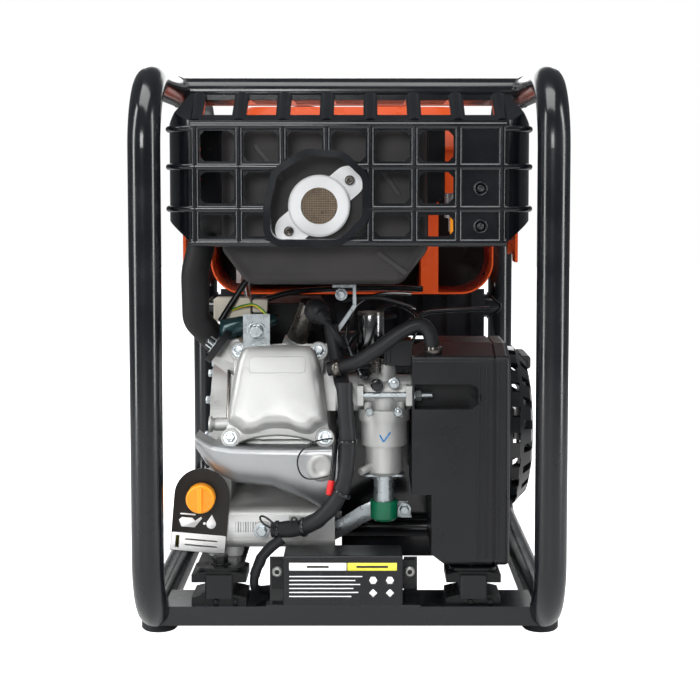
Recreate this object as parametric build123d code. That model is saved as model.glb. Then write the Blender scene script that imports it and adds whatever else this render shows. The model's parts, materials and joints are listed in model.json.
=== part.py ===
from build123d import *

import os
from math import cos, pi, radians, sin, tan

# Portable open-frame generator. Millimetres, +Z up, +X along the crankshaft towards the
# recoil starter, -Y towards the muffler end. Origin: floor, in the middle of the frame.

# ------------------------------------------------------------------ driving dimensions
TUBE_R = 16.0            # frame tube, outside
TUBE_BORE_R = 14.0
WELD_GAP = 0.1
LOOP_X = 200.0           # centre plane of each side loop
LOOP_Y = 270.0           # centre line of the loop's uprights
LOOP_LOW = 24.0          # centre line of the loop's lower run
LOOP_HIGH = 571.0        # centre line of the loop's upper run
LOOP_BEND_R = 70.0
CLEAR_X = LOOP_X - TUBE_R    # inner face of the loops
TOP_TUBE_Y = -20.0
REAR_TUBE_Z = 300.0
RAIL_LOW, RAIL_HIGH = 16.0, 36.0
RAIL_FRONT, RAIL_BACK = 175.0, 235.0
SHEET = 2.0

MOUNT_LEFT, MOUNT_RIGHT = -134.0, 127.0
MOUNT_Y = 205.0
MOUNT_HALF_X, MOUNT_HALF_Y = 28.0, 23.0    # half width and depth of the mount plates
MOUNT_ARCH = 4.0          # how far the plates' arched tops drop to their ends
RUBBER_LIP = 3.5
MOUNT_RUBBER_X = 14.0
PLATE_RISE = 11.0
CRADLE_LOW = 70.0
CRADLE_HIGH = 73.0

CRANK_Y, CRANK_Z = 10.0, 182.0
CYL_X = -75.0            # cylinder centre along the crankshaft
CYL_TILT = 19.0          # cylinder rises towards the muffler end
BORE_R = 34.0
STROKE = 54.0
RUNNING = 0.05           # radial running clearance of shafts
BLOCK_LEFT, BLOCK_RIGHT = -150.0, -16.0
BLOCK_R = 82.0
SUMP_FRONT, SUMP_BACK = -185.0, 90.0
SUMP_TOP = 126.0
DECK_S, HEAD_S, ROCKER_S, COVER_S = 86.0, 150.0, 198.0, 230.0    # along the cylinder axis
FIN_HALF = 52.0

DRUM_R = 102.0           # alternator and fan housings
ALT_END, FAN_END, RECOIL_END = 104.0, 168.0, 208.0
SHAFT_R = 12.5

CARB_X, CARB_Y, CARB_Z = 36.0, -180.0, 249.0
BOWL_TOP, BOWL_LOW, SOLENOID_LOW = 225.0, 162.0, 134.0
FILTER_LEFT, FILTER_JOIN, FILTER_RIGHT = 64.0, 138.0, 164.0
FILTER_FRONT, FILTER_BACK = -225.0, -122.0
FILTER_LOW, FILTER_HIGH = 75.0, 302.0
HOSE_R = 7.5

MUFFLER_LEFT, MUFFLER_RIGHT = -129.0, 78.0
MUFFLER_FRONT, MUFFLER_BACK = -232.0, -108.0
MUFFLER_LOW, MUFFLER_HIGH = 365.0, 528.0
OUTLET_X, OUTLET_Z = -30.0, 444.6
PIPE_R = 14.5

GUARD_FRONT, GUARD_BACK = -265.0, -95.0
SHIELD_Y = -91.0
COVER_LOW = 52.0         # lower edge of the alternator cover
GUARD_LOW, GUARD_EDGE, GUARD_HIGH = 405.0, 528.0, 556.0
GUARD_HALF = 180.0
GUARD_COLUMN = -151.0    # centre of the first upright rib
GUARD_PITCH = 43.0
GUARD_ROWS = ((488.5, 518.5), (447.5, 478.0), (415.0, 436.0))    # openings, low and high edge
GUARD_WALL = 4.0
GUARD_RIB_R = 4.0
GUARD_ROW_RIBS = (409.0, 441.8, 483.3, 523.5)

TANK_HALF = 185.0
TANK_FRONT, TANK_BACK = 5.0, 262.0
TANK_LOW, TANK_SEAM, TANK_TOP = 455.0, 507.0, 558.0
CAP_X, CAP_Y = 55.0, 130.0

PANEL_HALF = 180.0
PANEL_FRONT, PANEL_BACK = 150.0, 266.0
PANEL_LOW, PANEL_HIGH = 325.0, 455.0

BATTERY_LEFT, BATTERY_RIGHT = -67.0, 54.0
BATTERY_FRONT, BATTERY_BACK = -245.0, -200.0
BATTERY_LOW, BATTERY_HIGH = 40.0, 91.0
PLUG_X, PLUG_Y, PLUG_Z = -155.0, -208.0, 140.0

EXHAUST_SEAT = (-136.0, -146.0, 293.0)
EXHAUST_OUT = Vector(-0.80, 0.0, 0.60)
PLUG_SEAT = (-58.0, -140.0, 298.0)
PLUG_OUT = Vector(0.35, -0.35, 0.87)
LEAD_RADIUS = 3.5
LOOM_RADIUS = 7.0
BRANCH_RADIUS = 5.0

# Cylinder frame: local Z runs from the crankshaft out to the valve cover, local X is +X.
CYLINDER = Plane(
    origin=(CYL_X, CRANK_Y, CRANK_Z),
    x_dir=(1, 0, 0),
    z_dir=(0, -cos(radians(CYL_TILT)), sin(radians(CYL_TILT))),
).location


# ------------------------------------------------------------------ small helpers
def block(x0, x1, y0, y1, z0, z1):
    """Box between two corners."""
    centre = Pos((x0 + x1) / 2, (y0 + y1) / 2, (z0 + z1) / 2)
    return centre * Box(x1 - x0, y1 - y0, z1 - z0)


def front_plate(outline, y_back, y_front):
    """Outline in X and Z, extruded between two Y values."""
    seat = Plane(origin=(0, y_back, 0), x_dir=(1, 0, 0), z_dir=(0, -1, 0))
    return extrude(seat * outline, y_back - y_front, dir=(0, -1, 0))


def rod_x(radius, x0, x1, y, z):
    return Pos((x0 + x1) / 2, y, z) * Rot(0, 90, 0) * Cylinder(radius, x1 - x0)


def rod_y(radius, y0, y1, x, z):
    return Pos(x, (y0 + y1) / 2, z) * Rot(90, 0, 0) * Cylinder(radius, y1 - y0)


def rod_z(radius, z0, z1, x, y):
    return Pos(x, y, (z0 + z1) / 2) * Cylinder(radius, z1 - z0)


def between(radius, start, end):
    """Round bar from one point to another."""
    start, end = Vector(*start), Vector(*end)
    seat = Plane(origin=start, z_dir=end - start)
    return extrude(seat * Circle(radius), (end - start).length)


def hexagon(across_flats, height, start, direction):
    """Hexagon head or nut standing on a point."""
    seat = Plane(origin=start, z_dir=direction)
    return extrude(seat * RegularPolygon(across_flats / 2, 6, major_radius=False), height)


def flange_bolt(start, direction, across_flats=8.0):
    """Head of a flange bolt: washer face, hexagon and a short shank behind the seat."""
    start, direction = Vector(*start), Vector(*direction).normalized()
    washer = extrude(Plane(origin=start, z_dir=direction) * Circle(across_flats * 0.8), 1.5)
    return washer + hexagon(across_flats, across_flats * 0.65, start + direction * 1.5, direction)


def bend_radii(points, share=0.45):
    """Largest tangent radius at each corner of a route."""
    radii = []
    for before, corner, after in zip(points, points[1:], points[2:]):
        first = Vector(*corner) - Vector(*before)
        second = Vector(*after) - Vector(*corner)
        turn = radians(first.get_angle(second))
        radii.append(share * min(first.length, second.length) / tan(turn / 2))
    return radii


def run_tube(points, radius, bore=0.0, radii=None):
    """Tube along straight runs joined by tangent arcs."""
    path = FilletPolyline(*points, radius=radii or bend_radii(points))
    section = Circle(radius) - Circle(bore) if bore else Circle(radius)
    return sweep(Plane(origin=path @ 0, z_dir=path % 0) * section, path=path)


def joined(shapes):
    """One shape from several pieces that may or may not touch."""
    shapes = list(shapes)
    total = shapes[0]
    for shape in shapes[1:]:
        total = total + shape
    return total


# ------------------------------------------------------------------ frame
def side_loop(x, section=Circle(TUBE_R) - Circle(TUBE_BORE_R)):
    """Closed hoop of bent tube in a plane across the crankshaft."""
    middle = (LOOP_LOW + LOOP_HIGH) / 2
    plane = Plane(origin=(x, 0, middle), x_dir=(0, 1, 0), z_dir=(1, 0, 0))
    path = (plane * RectangleRounded(2 * LOOP_Y, LOOP_HIGH - LOOP_LOW, LOOP_BEND_R)).wire()
    return sweep(Plane(origin=path @ 0, z_dir=path % 0) * section, path=path)


def solid_loops():
    """Both hoops without their bore, with a weld gap, used to cope what is welded to them."""
    return [side_loop(x, Circle(TUBE_R + WELD_GAP)) for x in (-LOOP_X, LOOP_X)]


def coped(shape):
    """What is left of a member between the two hoops."""
    for loop in solid_loops():
        shape = shape - loop
    return shape.solids().sort_by(SortBy.VOLUME)[-1]


def cross_tube(y, z):
    """Tube between the loops with its ends coped round their tubes."""
    return coped(rod_x(TUBE_R, -LOOP_X, LOOP_X, y, z) - rod_x(TUBE_BORE_R, -LOOP_X, LOOP_X, y, z))


def base_rails():
    """Two folded channels between the loops, with the battery tray on the front one."""
    pieces = []
    for side in (-1, 1):
        y0, y1 = sorted((side * RAIL_FRONT, side * RAIL_BACK))
        rail = block(-LOOP_X, LOOP_X, y0, y1, RAIL_LOW, RAIL_HIGH)
        rail = rail - block(-LOOP_X, LOOP_X, y0 + 3, y1 - 3, RAIL_LOW - 1, RAIL_HIGH - 3)
        pieces.append(coped(rail))
    tray = block(BATTERY_LEFT - 18, BATTERY_RIGHT + 18, BATTERY_BACK - 43, BATTERY_BACK + 4,
                 RAIL_HIGH, BATTERY_LOW)
    for x in (BATTERY_LEFT - 16, BATTERY_RIGHT + 2):
        tray = tray + block(x, x + 14, BATTERY_BACK - 8, BATTERY_BACK - 5, BATTERY_LOW, 80)
    pieces.append(tray)
    return joined(pieces)


def rubber_feet():
    """Round pads hugging the underside of the loops."""
    feet = []
    for x in (-LOOP_X, LOOP_X):
        for y in (-190.0, 190.0):
            pad = chamfer(rod_z(19, 0, 16, x, y).edges().sort_by(Axis.Z)[0], 2)
            feet.append(pad - rod_y(TUBE_R, y - 30, y + 30, x, LOOP_LOW))
    return joined(feet)


def mount_positions():
    return [(x, y) for x in (MOUNT_LEFT, MOUNT_RIGHT) for y in (-MOUNT_Y, MOUNT_Y)]


def arched_plate(x, y, low, arch, flat):
    """Mount plate with a flat foot, low ends and an arched top cut level at flat."""
    half = MOUNT_HALF_X
    outline = make_face(
        Polyline((x - half, arch - MOUNT_ARCH), (x - half, low), (x + half, low), (x + half, arch - MOUNT_ARCH))
        + ThreePointArc((x + half, arch - MOUNT_ARCH), (x, arch), (x - half, arch - MOUNT_ARCH))
    )
    plate = front_plate(outline, y + MOUNT_HALF_Y, y - MOUNT_HALF_Y)
    return plate - block(x - half, x + half, y - 99, y + 99, flat, flat + 99)


def mount_cups():
    """Pressed steel plates with arched tops above and below each engine mount."""
    plates = []
    for x, y in mount_positions():
        plates.append(arched_plate(x, y, RAIL_HIGH, RAIL_HIGH + PLATE_RISE, 99))
        plates.append(arched_plate(x, y, CRADLE_LOW - PLATE_RISE, CRADLE_LOW + 1, CRADLE_LOW))
    return joined(plates)


def mount_rubbers():
    """Rubber blocks bonded between the plates, with lips over the plates' front and back."""
    half, deep = MOUNT_RUBBER_X, MOUNT_HALF_Y + RUBBER_LIP
    low, high = RAIL_HIGH + PLATE_RISE - MOUNT_ARCH, CRADLE_LOW - 3
    rubbers = [block(x - half, x + half, y - deep, y + deep, low, high) for x, y in mount_positions()]
    rubbers = [fillet(rubber.edges().filter_by(Axis.Z), RUBBER_LIP - 1) for rubber in rubbers]
    return joined(rubbers) - mount_cups()


def engine_cradle():
    """Two flat rails on the mounts, tied by a plate under the sump."""
    rails = []
    for x in (MOUNT_LEFT, MOUNT_RIGHT):
        rail = block(x - 24, x + 24, -226, 226, CRADLE_LOW, CRADLE_HIGH)
        rail = fillet(rail.edges().filter_by(Axis.Z), 12)
        rails.append(rail - block(x - 8, x + 8, -150, -40, 0, 99) - block(x - 8, x + 8, 60, 150, 0, 99))
    tie = block(MOUNT_LEFT + 20, MOUNT_RIGHT - 20, -60, 80, CRADLE_LOW, CRADLE_HIGH)
    return joined(rails + [tie])


# ------------------------------------------------------------------ engine
def crankcase_block():
    """Crankcase, sump and finned cylinder in one casting, hollow inside."""
    drum = rod_x(BLOCK_R, BLOCK_LEFT, BLOCK_RIGHT, CRANK_Y, CRANK_Z)
    sump = block(BLOCK_LEFT, BLOCK_RIGHT, SUMP_FRONT, SUMP_BACK, 83, SUMP_TOP)
    sump = fillet(sump.edges().filter_by(Axis.X), 9)
    body = drum + sump + block(BLOCK_LEFT, BLOCK_RIGHT, -60, 80, 100, CRANK_Z)
    neck = rod_y(15, PLUG_Y + 21, -118, PLUG_X, PLUG_Z)
    body = body + block(BLOCK_LEFT, -128, -150, -50, 110, 156) + neck
    body = body + block(PLUG_X - 8, -140, -150, -118, 120, 152)
    for x in (BLOCK_LEFT, -52):
        for y in (SUMP_FRONT + 8, SUMP_BACK - 42):
            foot = block(x, x + 36, y, y + 34, CRADLE_HIGH, 96)
            body = body + fillet(foot.edges().filter_by(Axis.Z), 7)
    fins = [CYLINDER * block(-46, 46, -46, 46, 50, HEAD_S)]
    pitch = 8.0
    for k in range(7):
        low = DECK_S + 4 + pitch * k
        fin = CYLINDER * block(-FIN_HALF, FIN_HALF, -FIN_HALF, FIN_HALF, low, low + 3)
        fins.append(fin)
    body = body + joined(fins)
    boss = rod_y(9, SUMP_FRONT - 8, SUMP_FRONT + 4, -92, 104)
    body = body + boss
    body = body - rod_x(46, -118, -32, CRANK_Y, CRANK_Z)
    body = body - rod_x(17 + RUNNING, BLOCK_LEFT - 1, BLOCK_RIGHT + 1, CRANK_Y, CRANK_Z)
    body = body - CYLINDER * Pos(0, 0, 90) * Cylinder(BORE_R + RUNNING, 2 * (HEAD_S - 89))
    body = body - block(-140, -26, SUMP_FRONT + 9, 78, 92, 118) - block(-118, -32, -34, 54, 110, CRANK_Z)
    return body - rod_y(11, PLUG_Y + 20, -130, PLUG_X, PLUG_Z)


def cover_outline(grow):
    """Crankcase joint face: a drum with a straight-sided sump below it."""
    plane = Plane(origin=(BLOCK_LEFT, CRANK_Y, CRANK_Z), x_dir=(0, 1, 0), z_dir=(1, 0, 0))
    drum = plane * Circle(BLOCK_R - grow)
    low = CRANK_Z - 84 + grow
    lower = plane * Pos(-15, -low / 2) * RectangleRounded(150 - 2 * grow, low, 10)
    return drum + lower


def crankcase_cover():
    """Side cover with a raised bearing boss and bolt lugs."""
    cover = extrude(cover_outline(1.5), -9)
    cover = cover + rod_x(30, BLOCK_LEFT - 14, BLOCK_LEFT - 8, CRANK_Y, CRANK_Z)
    for angle in range(0, 360, 45):
        web = Rot(angle, 0, 0) * block(BLOCK_LEFT - 12, BLOCK_LEFT - 8, -2.5, 2.5, 28, 58)
        cover = cover + Pos(0, CRANK_Y, CRANK_Z) * web
    return cover - rod_x(17 + RUNNING, BLOCK_LEFT - 6, BLOCK_LEFT + 1, CRANK_Y, CRANK_Z)


def cylinder_head():
    """Finned head with the exhaust port on -X and the intake port on +X."""
    head = CYLINDER * block(-44, 44, -48, 48, HEAD_S, ROCKER_S)
    for k in range(4):
        low = HEAD_S + 2 + 10 * k
        fin = CYLINDER * block(-FIN_HALF, FIN_HALF, -FIN_HALF, FIN_HALF + 4, low, low + 3.5)
        head = head + fin
    port = Vector(*EXHAUST_SEAT)
    plug = Vector(*PLUG_SEAT)
    head = head + between(21, port - EXHAUST_OUT * 42, port)
    head = head + rod_x(20, -40, CARB_X - 28, CARB_Y, CARB_Z)
    head = head + rod_x(7, CYL_X - 66, CYL_X - 30, -178, 214)
    head = head - between(12, port - EXHAUST_OUT * 30, port + EXHAUST_OUT)
    head = head - rod_x(11, -10, CARB_X - 20, CARB_Y, CARB_Z)
    head = head - CYLINDER * Pos(0, 0, HEAD_S) * Cylinder(30, 16)
    head = head + between(13, plug - PLUG_OUT * 30, plug)
    head = head - between(7 + RUNNING, plug - PLUG_OUT * 20, plug + PLUG_OUT * 4)
    return head - CYLINDER * block(-75, 60, -80, 80, ROCKER_S, ROCKER_S + 60)


def valve_cover_outline(grow=0.0):
    """Rounded trapezoid, wider at the bottom."""
    bottom, top, low, high = 50 + grow, 41 + grow, -50 - grow, 48 + grow
    outline = Polygon((-bottom, low), (bottom, low), (top, high), (-top, high), align=None)
    return fillet(outline.vertices(), 16)


COVER_BOLTS = ((-42, 44), (42, 44), (-49, -48), (49, -48))


def valve_cover():
    """Cast cover: flange with four lugs and a crowned dome with raised outline bars."""
    base = valve_cover_outline()
    for x, y in COVER_BOLTS:
        base = base + Pos(x, y) * Circle(10)
    cover = extrude(base, 7)
    dome = extrude(Pos(0, 0, 7) * valve_cover_outline(-5), 23, taper=6)
    dome = fillet(dome.edges().group_by(Axis.Z)[-1], 8)
    cover = cover + dome
    for x, y in COVER_BOLTS:
        cover = cover - Pos(x, y, 18.1) * Cylinder(10.5, 22)
    for k in (-1, 0, 1):
        outline = RectangleRounded(17, 20, 4) - RectangleRounded(14.6, 17.6, 3)
        cover = cover + extrude(Pos(23 * k, 26, 29.5) * outline, 1.2)
    inner = extrude(Pos(0, 0, -1) * valve_cover_outline(-9), 24, taper=6)
    return CYLINDER * Pos(0, 0, ROCKER_S) * (cover - inner)


def engine_bolts():
    """Flange bolts of the valve cover and crankcase cover, drain bolt and carburettor studs."""
    bolts = []
    axis = Vector(0, -cos(radians(CYL_TILT)), sin(radians(CYL_TILT)))
    for x, y in COVER_BOLTS:
        seat = CYLINDER * Pos(x, y, ROCKER_S + 7)
        bolts.append(flange_bolt(seat.position, axis))
    for angle in range(20, 200, 32):
        y = CRANK_Y + 72 * cos(radians(angle))
        z = CRANK_Z + 72 * sin(radians(angle))
        bolts.append(flange_bolt((BLOCK_LEFT - 9, y, z), (-1, 0, 0)))
    bolts.append(flange_bolt((-92, SUMP_FRONT - 8, 104), (0, -1, 0), 10))
    for y in (CARB_Y - 26, CARB_Y + 26):
        bolts.append(rod_x(3, CARB_X - 27.9, FILTER_LEFT + 22, y, CARB_Z))
        bolts.append(hexagon(10, 6, (FILTER_LEFT + 4.1, y, CARB_Z), (1, 0, 0)))
    return joined(bolts)


def side_shroud():
    """Cooling-air scoop swept under the cylinder, open at the back."""
    front, back = -214.0, -158.0
    outline = Polygon((-158, 206), (-142, 196), (-122, 193), (-12, 193), (-12, 118), (-33, 126), (-51, 141),
                      (-79, 151), (-119, 155), (-139, 166), (-156, 187), align=None)
    inner = front_plate(offset(outline, -SHEET), back + 1, front + SHEET)
    scoop = front_plate(outline, back, front) - inner - CYLINDER * block(-60, 70, -60, 80, 60, 300)
    scoop = scoop - rod_y(31, front - 1, back + 1, PLUG_X, PLUG_Z)
    scoop = scoop - block(-160, -11, SUMP_FRONT - 1, back + 1, 0, SUMP_TOP + 1)
    return scoop.solids().sort_by(SortBy.VOLUME)[-1]


def oil_plug():
    """Orange knob with a grip bar and a threaded stem."""
    knob = fillet(rod_y(15, PLUG_Y, PLUG_Y + 14, PLUG_X, PLUG_Z).edges().sort_by(Axis.Y)[0], 3)
    grip = fillet(block(PLUG_X - 2.5, PLUG_X + 2.5, PLUG_Y - 6, PLUG_Y + 2, PLUG_Z - 13,
                        PLUG_Z + 13).edges(), 1)
    stem = rod_y(10.9, PLUG_Y + 14, PLUG_Y + 34, PLUG_X, PLUG_Z)
    flange = rod_y(13, PLUG_Y + 14, PLUG_Y + 17, PLUG_X, PLUG_Z)
    return knob + grip + stem + flange


def oil_tag():
    """Thin hanging card with a rounded top, clipped round the filler neck."""
    seat = Plane(origin=(PLUG_X, PLUG_Y + 20.5, PLUG_Z), x_dir=(1, 0, 0), z_dir=(0, -1, 0))
    card = seat * Rot(0, 0, -5) * (Circle(29) + Pos(0, -30) * Rectangle(58, 60))
    return extrude(card, 1.2) - rod_y(12, PLUG_Y, PLUG_Y + 40, PLUG_X, PLUG_Z)


# ------------------------------------------------------------------ crank train
def crankshaft():
    """Shaft with two webs and the crank pin at top dead centre."""
    shaft = rod_x(17, BLOCK_LEFT - 5, -116, CRANK_Y, CRANK_Z)
    shaft = shaft + rod_x(17, -34, BLOCK_RIGHT + 2, CRANK_Y, CRANK_Z)
    shaft = shaft + rod_x(SHAFT_R, BLOCK_RIGHT, FAN_END - 20, CRANK_Y, CRANK_Z)
    for x in (-116, -50):
        shaft = shaft + rod_x(39, x, x + 16, CRANK_Y, CRANK_Z)
    offset_y = CRANK_Y - STROKE / 2 * cos(radians(CYL_TILT))
    offset_z = CRANK_Z + STROKE / 2 * sin(radians(CYL_TILT))
    return shaft + rod_x(13, -101, -49, offset_y, offset_z)


def piston():
    """Hollow piston at the top of its stroke."""
    crown, skirt = HEAD_S - 6, HEAD_S - 54
    body = Pos(0, 0, (crown + skirt) / 2) * Cylinder(BORE_R, crown - skirt)
    for k in range(3):
        groove = Pos(0, 0, crown - 6 - 5 * k) * (Cylinder(BORE_R + 1, 2) - Cylinder(BORE_R - 1.5, 2))
        body = body - groove
    body = body - Pos(0, 0, (crown + skirt) / 2 - 6) * Cylinder(BORE_R - 5, crown - skirt)
    return CYLINDER * body


def alternator_stator():
    """Wound core on the crankcase face, with teeth round its rim."""
    core = rod_x(66, BLOCK_RIGHT, BLOCK_RIGHT + 56, CRANK_Y, CRANK_Z)
    core = core - rod_x(24, BLOCK_RIGHT - 1, BLOCK_RIGHT + 60, CRANK_Y, CRANK_Z)
    for k in range(18):
        slot = Rot(20 * k, 0, 0) * block(10, 60, -4, 4, 44, 62)
        core = core - Pos(BLOCK_RIGHT, CRANK_Y, CRANK_Z) * slot
    return core


def alternator_rotor():
    """Flywheel bell with magnets inside its rim, keyed on the shaft."""
    start, end = BLOCK_RIGHT + 8, BLOCK_RIGHT + 74
    bell = rod_x(84, start, end, CRANK_Y, CRANK_Z) - rod_x(70, start - 1, end - 10, CRANK_Y, CRANK_Z)
    return bell - rod_x(SHAFT_R, start, end + 1, CRANK_Y, CRANK_Z)


def cooling_fan():
    """Curved-blade fan bolted to the flywheel."""
    start = BLOCK_RIGHT + 74
    fan = rod_x(80, start, start + 4, CRANK_Y, CRANK_Z)
    for k in range(12):
        blade = Rot(30 * k, 0, 0) * Pos(start + 22, 12, 60) * Rot(24, 0, 0) * Box(38, 3, 36)
        fan = fan + Pos(0, CRANK_Y, CRANK_Z) * blade
    fan = fan + rod_x(26, start, start + 60, CRANK_Y, CRANK_Z)
    return fan - rod_x(SHAFT_R, start - 1, FAN_END - 20, CRANK_Y, CRANK_Z)


def alternator_housing():
    """Cast drum with cooling slots and stiffening ribs."""
    start = BLOCK_RIGHT
    drum = rod_x(DRUM_R - 4, start, ALT_END, CRANK_Y, CRANK_Z)
    drum = drum + rod_x(DRUM_R, ALT_END - 8, ALT_END, CRANK_Y, CRANK_Z)
    drum = drum + rod_x(DRUM_R, start, start + 6, CRANK_Y, CRANK_Z)
    for k in range(12):
        rib = Rot(30 * k + 15, 0, 0) * block(start, ALT_END, -2, 2, 60, DRUM_R - 0.5)
        drum = drum + Pos(0, CRANK_Y, CRANK_Z) * rib
    drum = drum - rod_x(DRUM_R - 10, start + 5, ALT_END + 1, CRANK_Y, CRANK_Z)
    drum = drum - rod_x(67, start - 1, start + 6, CRANK_Y, CRANK_Z)
    for k in range(12):
        slot = Rot(30 * k, 0, 0) * block(start + 22, ALT_END - 22, -12, 12, 60, DRUM_R + 5)
        drum = drum - Pos(0, CRANK_Y, CRANK_Z) * slot
    return drum


def fan_housing():
    """Drum round the fan, with feet that stand on the cradle."""
    drum = rod_x(DRUM_R, ALT_END, FAN_END, CRANK_Y, CRANK_Z)
    for y in (-70, 60):
        drum = drum + block(ALT_END, ALT_END + 44, y, y + 30, CRADLE_HIGH, 130)
    drum = drum - rod_x(DRUM_R - 7, ALT_END - 1, FAN_END - 4, CRANK_Y, CRANK_Z)
    return drum - rod_x(84, FAN_END - 5, FAN_END + 1, CRANK_Y, CRANK_Z)


def recoil_cover():
    """Perforated dome over the recoil reel."""
    profile = Polyline((FAN_END, 0), (FAN_END, 96), (FAN_END + 22, 93), (RECOIL_END - 4, 78),
                       (RECOIL_END, 62), (RECOIL_END, 0), close=True)
    solid = revolve(Plane.XY * make_face(profile), Axis.X)
    shell = Polyline((FAN_END - 1, 0), (FAN_END - 1, 90), (FAN_END + 20, 89), (RECOIL_END - 8, 75),
                     (RECOIL_END - 4, 60), (RECOIL_END - 4, 0), close=True)
    dome = solid - revolve(Plane.XY * make_face(shell), Axis.X)
    for k in range(20):
        hole = Rot(18 * k, 0, 0) * block(FAN_END + 14, FAN_END + 23, -6, 6, 80, 100)
        outer = Rot(18 * k + 9, 0, 0) * block(FAN_END + 27, RECOIL_END + 5, -5, 5, 68, 100)
        dome = dome - hole - outer
    for k in range(10):
        dome = dome - Rot(36 * k, 0, 0) * block(RECOIL_END - 8, RECOIL_END + 2, -5, 5, 36, 54)
    return Pos(0, CRANK_Y, CRANK_Z) * dome - recoil_handle(0.5)


def recoil_handle(grow=0.0):
    """Starter grip parked in a pocket of the dome."""
    y, z = CRANK_Y + 60, CRANK_Z + 70
    grip = block(RECOIL_END - 6 - grow, RECOIL_END + 7, y - 38 - grow, y + 38 + grow,
                 z - 8 - grow, z + 8 + grow)
    return fillet(grip.edges(), 4)


# ------------------------------------------------------------------ ignition and wiring
def spark_plug():
    """Metal shell and ceramic inside its cap."""
    tip = Vector(*PLUG_SEAT)
    shell = between(7, tip - PLUG_OUT * 18, tip + PLUG_OUT * 2)
    return shell + between(5, tip, tip + PLUG_OUT * 30)


def plug_cap():
    """Metal-sleeved cap with a round rubber boot."""
    foot = Vector(*PLUG_SEAT) + PLUG_OUT * 3.5
    top = foot + PLUG_OUT * 44
    cap = between(11.5, foot, top)
    elbow = top + Vector(6, -16, -6)
    cap = cap + Pos(*elbow) * Sphere(11) + between(8, top - PLUG_OUT * 6, elbow)
    return cap - between(5 + RUNNING, foot - PLUG_OUT, Vector(*PLUG_SEAT) + PLUG_OUT * 31)


LEAD_ROUTE = ((-32, -183, 330), (-22, -194, 322), (-12, -199, 307), (-5, -186, 295), (0, -160, 290),
              (2, -130, 289), (4, -100, 289.5))


def ht_lead():
    """Ignition lead from the boot back to the coil."""
    return run_tube(LEAD_ROUTE, LEAD_RADIUS)


def ignition_coil():
    """Potted coil with two laminated legs on the alternator housing."""
    body = fillet(block(-12, 20, -99.9, -72, 276, 302).edges(), 3)
    return body + block(0, 8, -90, -82, 262, 280)


LOOM_ROUTE = ((-5, -222, 264), (-4, -226, 236), (-1, -228, 200), (-4, -230, 166), (-16, -229, 138),
              (-36, -222, 119), (-58, -213, 110), (-80, -208, 109))
BRANCH_ROUTE = ((-70, -214, 101), (-86, -217, 90), (-93, -220, 78), (-98, -221, 64))


def wiring_loom():
    """Sleeved loom down the engine to the battery."""
    return run_tube(LOOM_ROUTE, LOOM_RADIUS) + run_tube(BRANCH_ROUTE, BRANCH_RADIUS)


def battery():
    """Block battery with end ears and two screws."""
    case = fillet(block(BATTERY_LEFT, BATTERY_RIGHT, BATTERY_FRONT, BATTERY_BACK, BATTERY_LOW,
                        BATTERY_HIGH).edges(), 2)
    for x0, x1 in ((BATTERY_LEFT - 14, BATTERY_LEFT), (BATTERY_RIGHT, BATTERY_RIGHT + 14)):
        case = case + block(x0, x1, BATTERY_BACK - 12, BATTERY_BACK - 8, 48, 78)
        case = case + rod_y(4, BATTERY_BACK - 15, BATTERY_BACK - 12, (x0 + x1) / 2, 66)
    return case


# ------------------------------------------------------------------ carburettor and air filter
def carburettor():
    """Body with flanges, choke tower and bosses, bored through."""
    left, right = CARB_X - 28, FILTER_LEFT
    body = rod_x(18, left, right, CARB_Y, CARB_Z)
    for x in (left, right - 6):
        body = body + block(x, x + 6, CARB_Y - 32, CARB_Y + 32, CARB_Z - 10, CARB_Z + 10)
    body = body + rod_z(13, CARB_Z, CARB_Z + 30, CARB_X, CARB_Y)
    body = body + rod_z(20, CARB_Z - 20, CARB_Z, CARB_X, CARB_Y)
    body = body + rod_z(27, CARB_Z - 24, CARB_Z - 17, CARB_X, CARB_Y)
    for angle in (45, 135, 225, 315):
        x = CARB_X + 24 * cos(radians(angle))
        y = CARB_Y + 24 * sin(radians(angle))
        body = body + rod_z(4.5, CARB_Z - 24, CARB_Z - 8, x, y)
    body = body - rod_x(11, left - 1, right + 1, CARB_Y, CARB_Z)
    for y in (CARB_Y - 26, CARB_Y + 26):
        body = body - rod_x(3.2, left - 1, right + 1, y, CARB_Z)
    return body


def float_bowl():
    """Stepped bowl under the carburettor with a drain screw."""
    step = BOWL_TOP - 31
    upper = rod_z(24.5, step, BOWL_TOP, CARB_X, CARB_Y) + rod_z(27, BOWL_TOP - 5, BOWL_TOP, CARB_X, CARB_Y)
    lower = chamfer(rod_z(20, BOWL_LOW, step + 2, CARB_X, CARB_Y).edges().sort_by(Axis.Z)[0], 4)
    drain = between(4, (CARB_X - 14, CARB_Y - 12, BOWL_LOW + 10), (CARB_X - 25, CARB_Y - 22, BOWL_LOW + 6))
    return upper + lower + drain - rod_z(17, BOWL_LOW + 4, BOWL_TOP + 1, CARB_X, CARB_Y)


def fuel_solenoid():
    can = rod_z(11, SOLENOID_LOW, BOWL_LOW, CARB_X, CARB_Y)
    return can + rod_z(13, BOWL_LOW - 5, BOWL_LOW - 1, CARB_X, CARB_Y)


def solenoid_cap():
    cap = rod_z(14.5, SOLENOID_LOW - 21, SOLENOID_LOW, CARB_X, CARB_Y)
    return chamfer(cap.edges().sort_by(Axis.Z)[0], 3)


def choke_motor():
    """Stepper can on the choke tower, beside its black drive box."""
    low = CARB_Z + 30
    box = fillet(block(CARB_X + 1, CARB_X + 27, CARB_Y - 13, CARB_Y + 13, low, low + 26).edges(), 2)
    can = rod_z(14, low, low + 52, CARB_X - 14, CARB_Y + 20)
    return box + can + block(CARB_X - 20, CARB_X + 8, CARB_Y - 4, CARB_Y + 24, low, low + 5)


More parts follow.
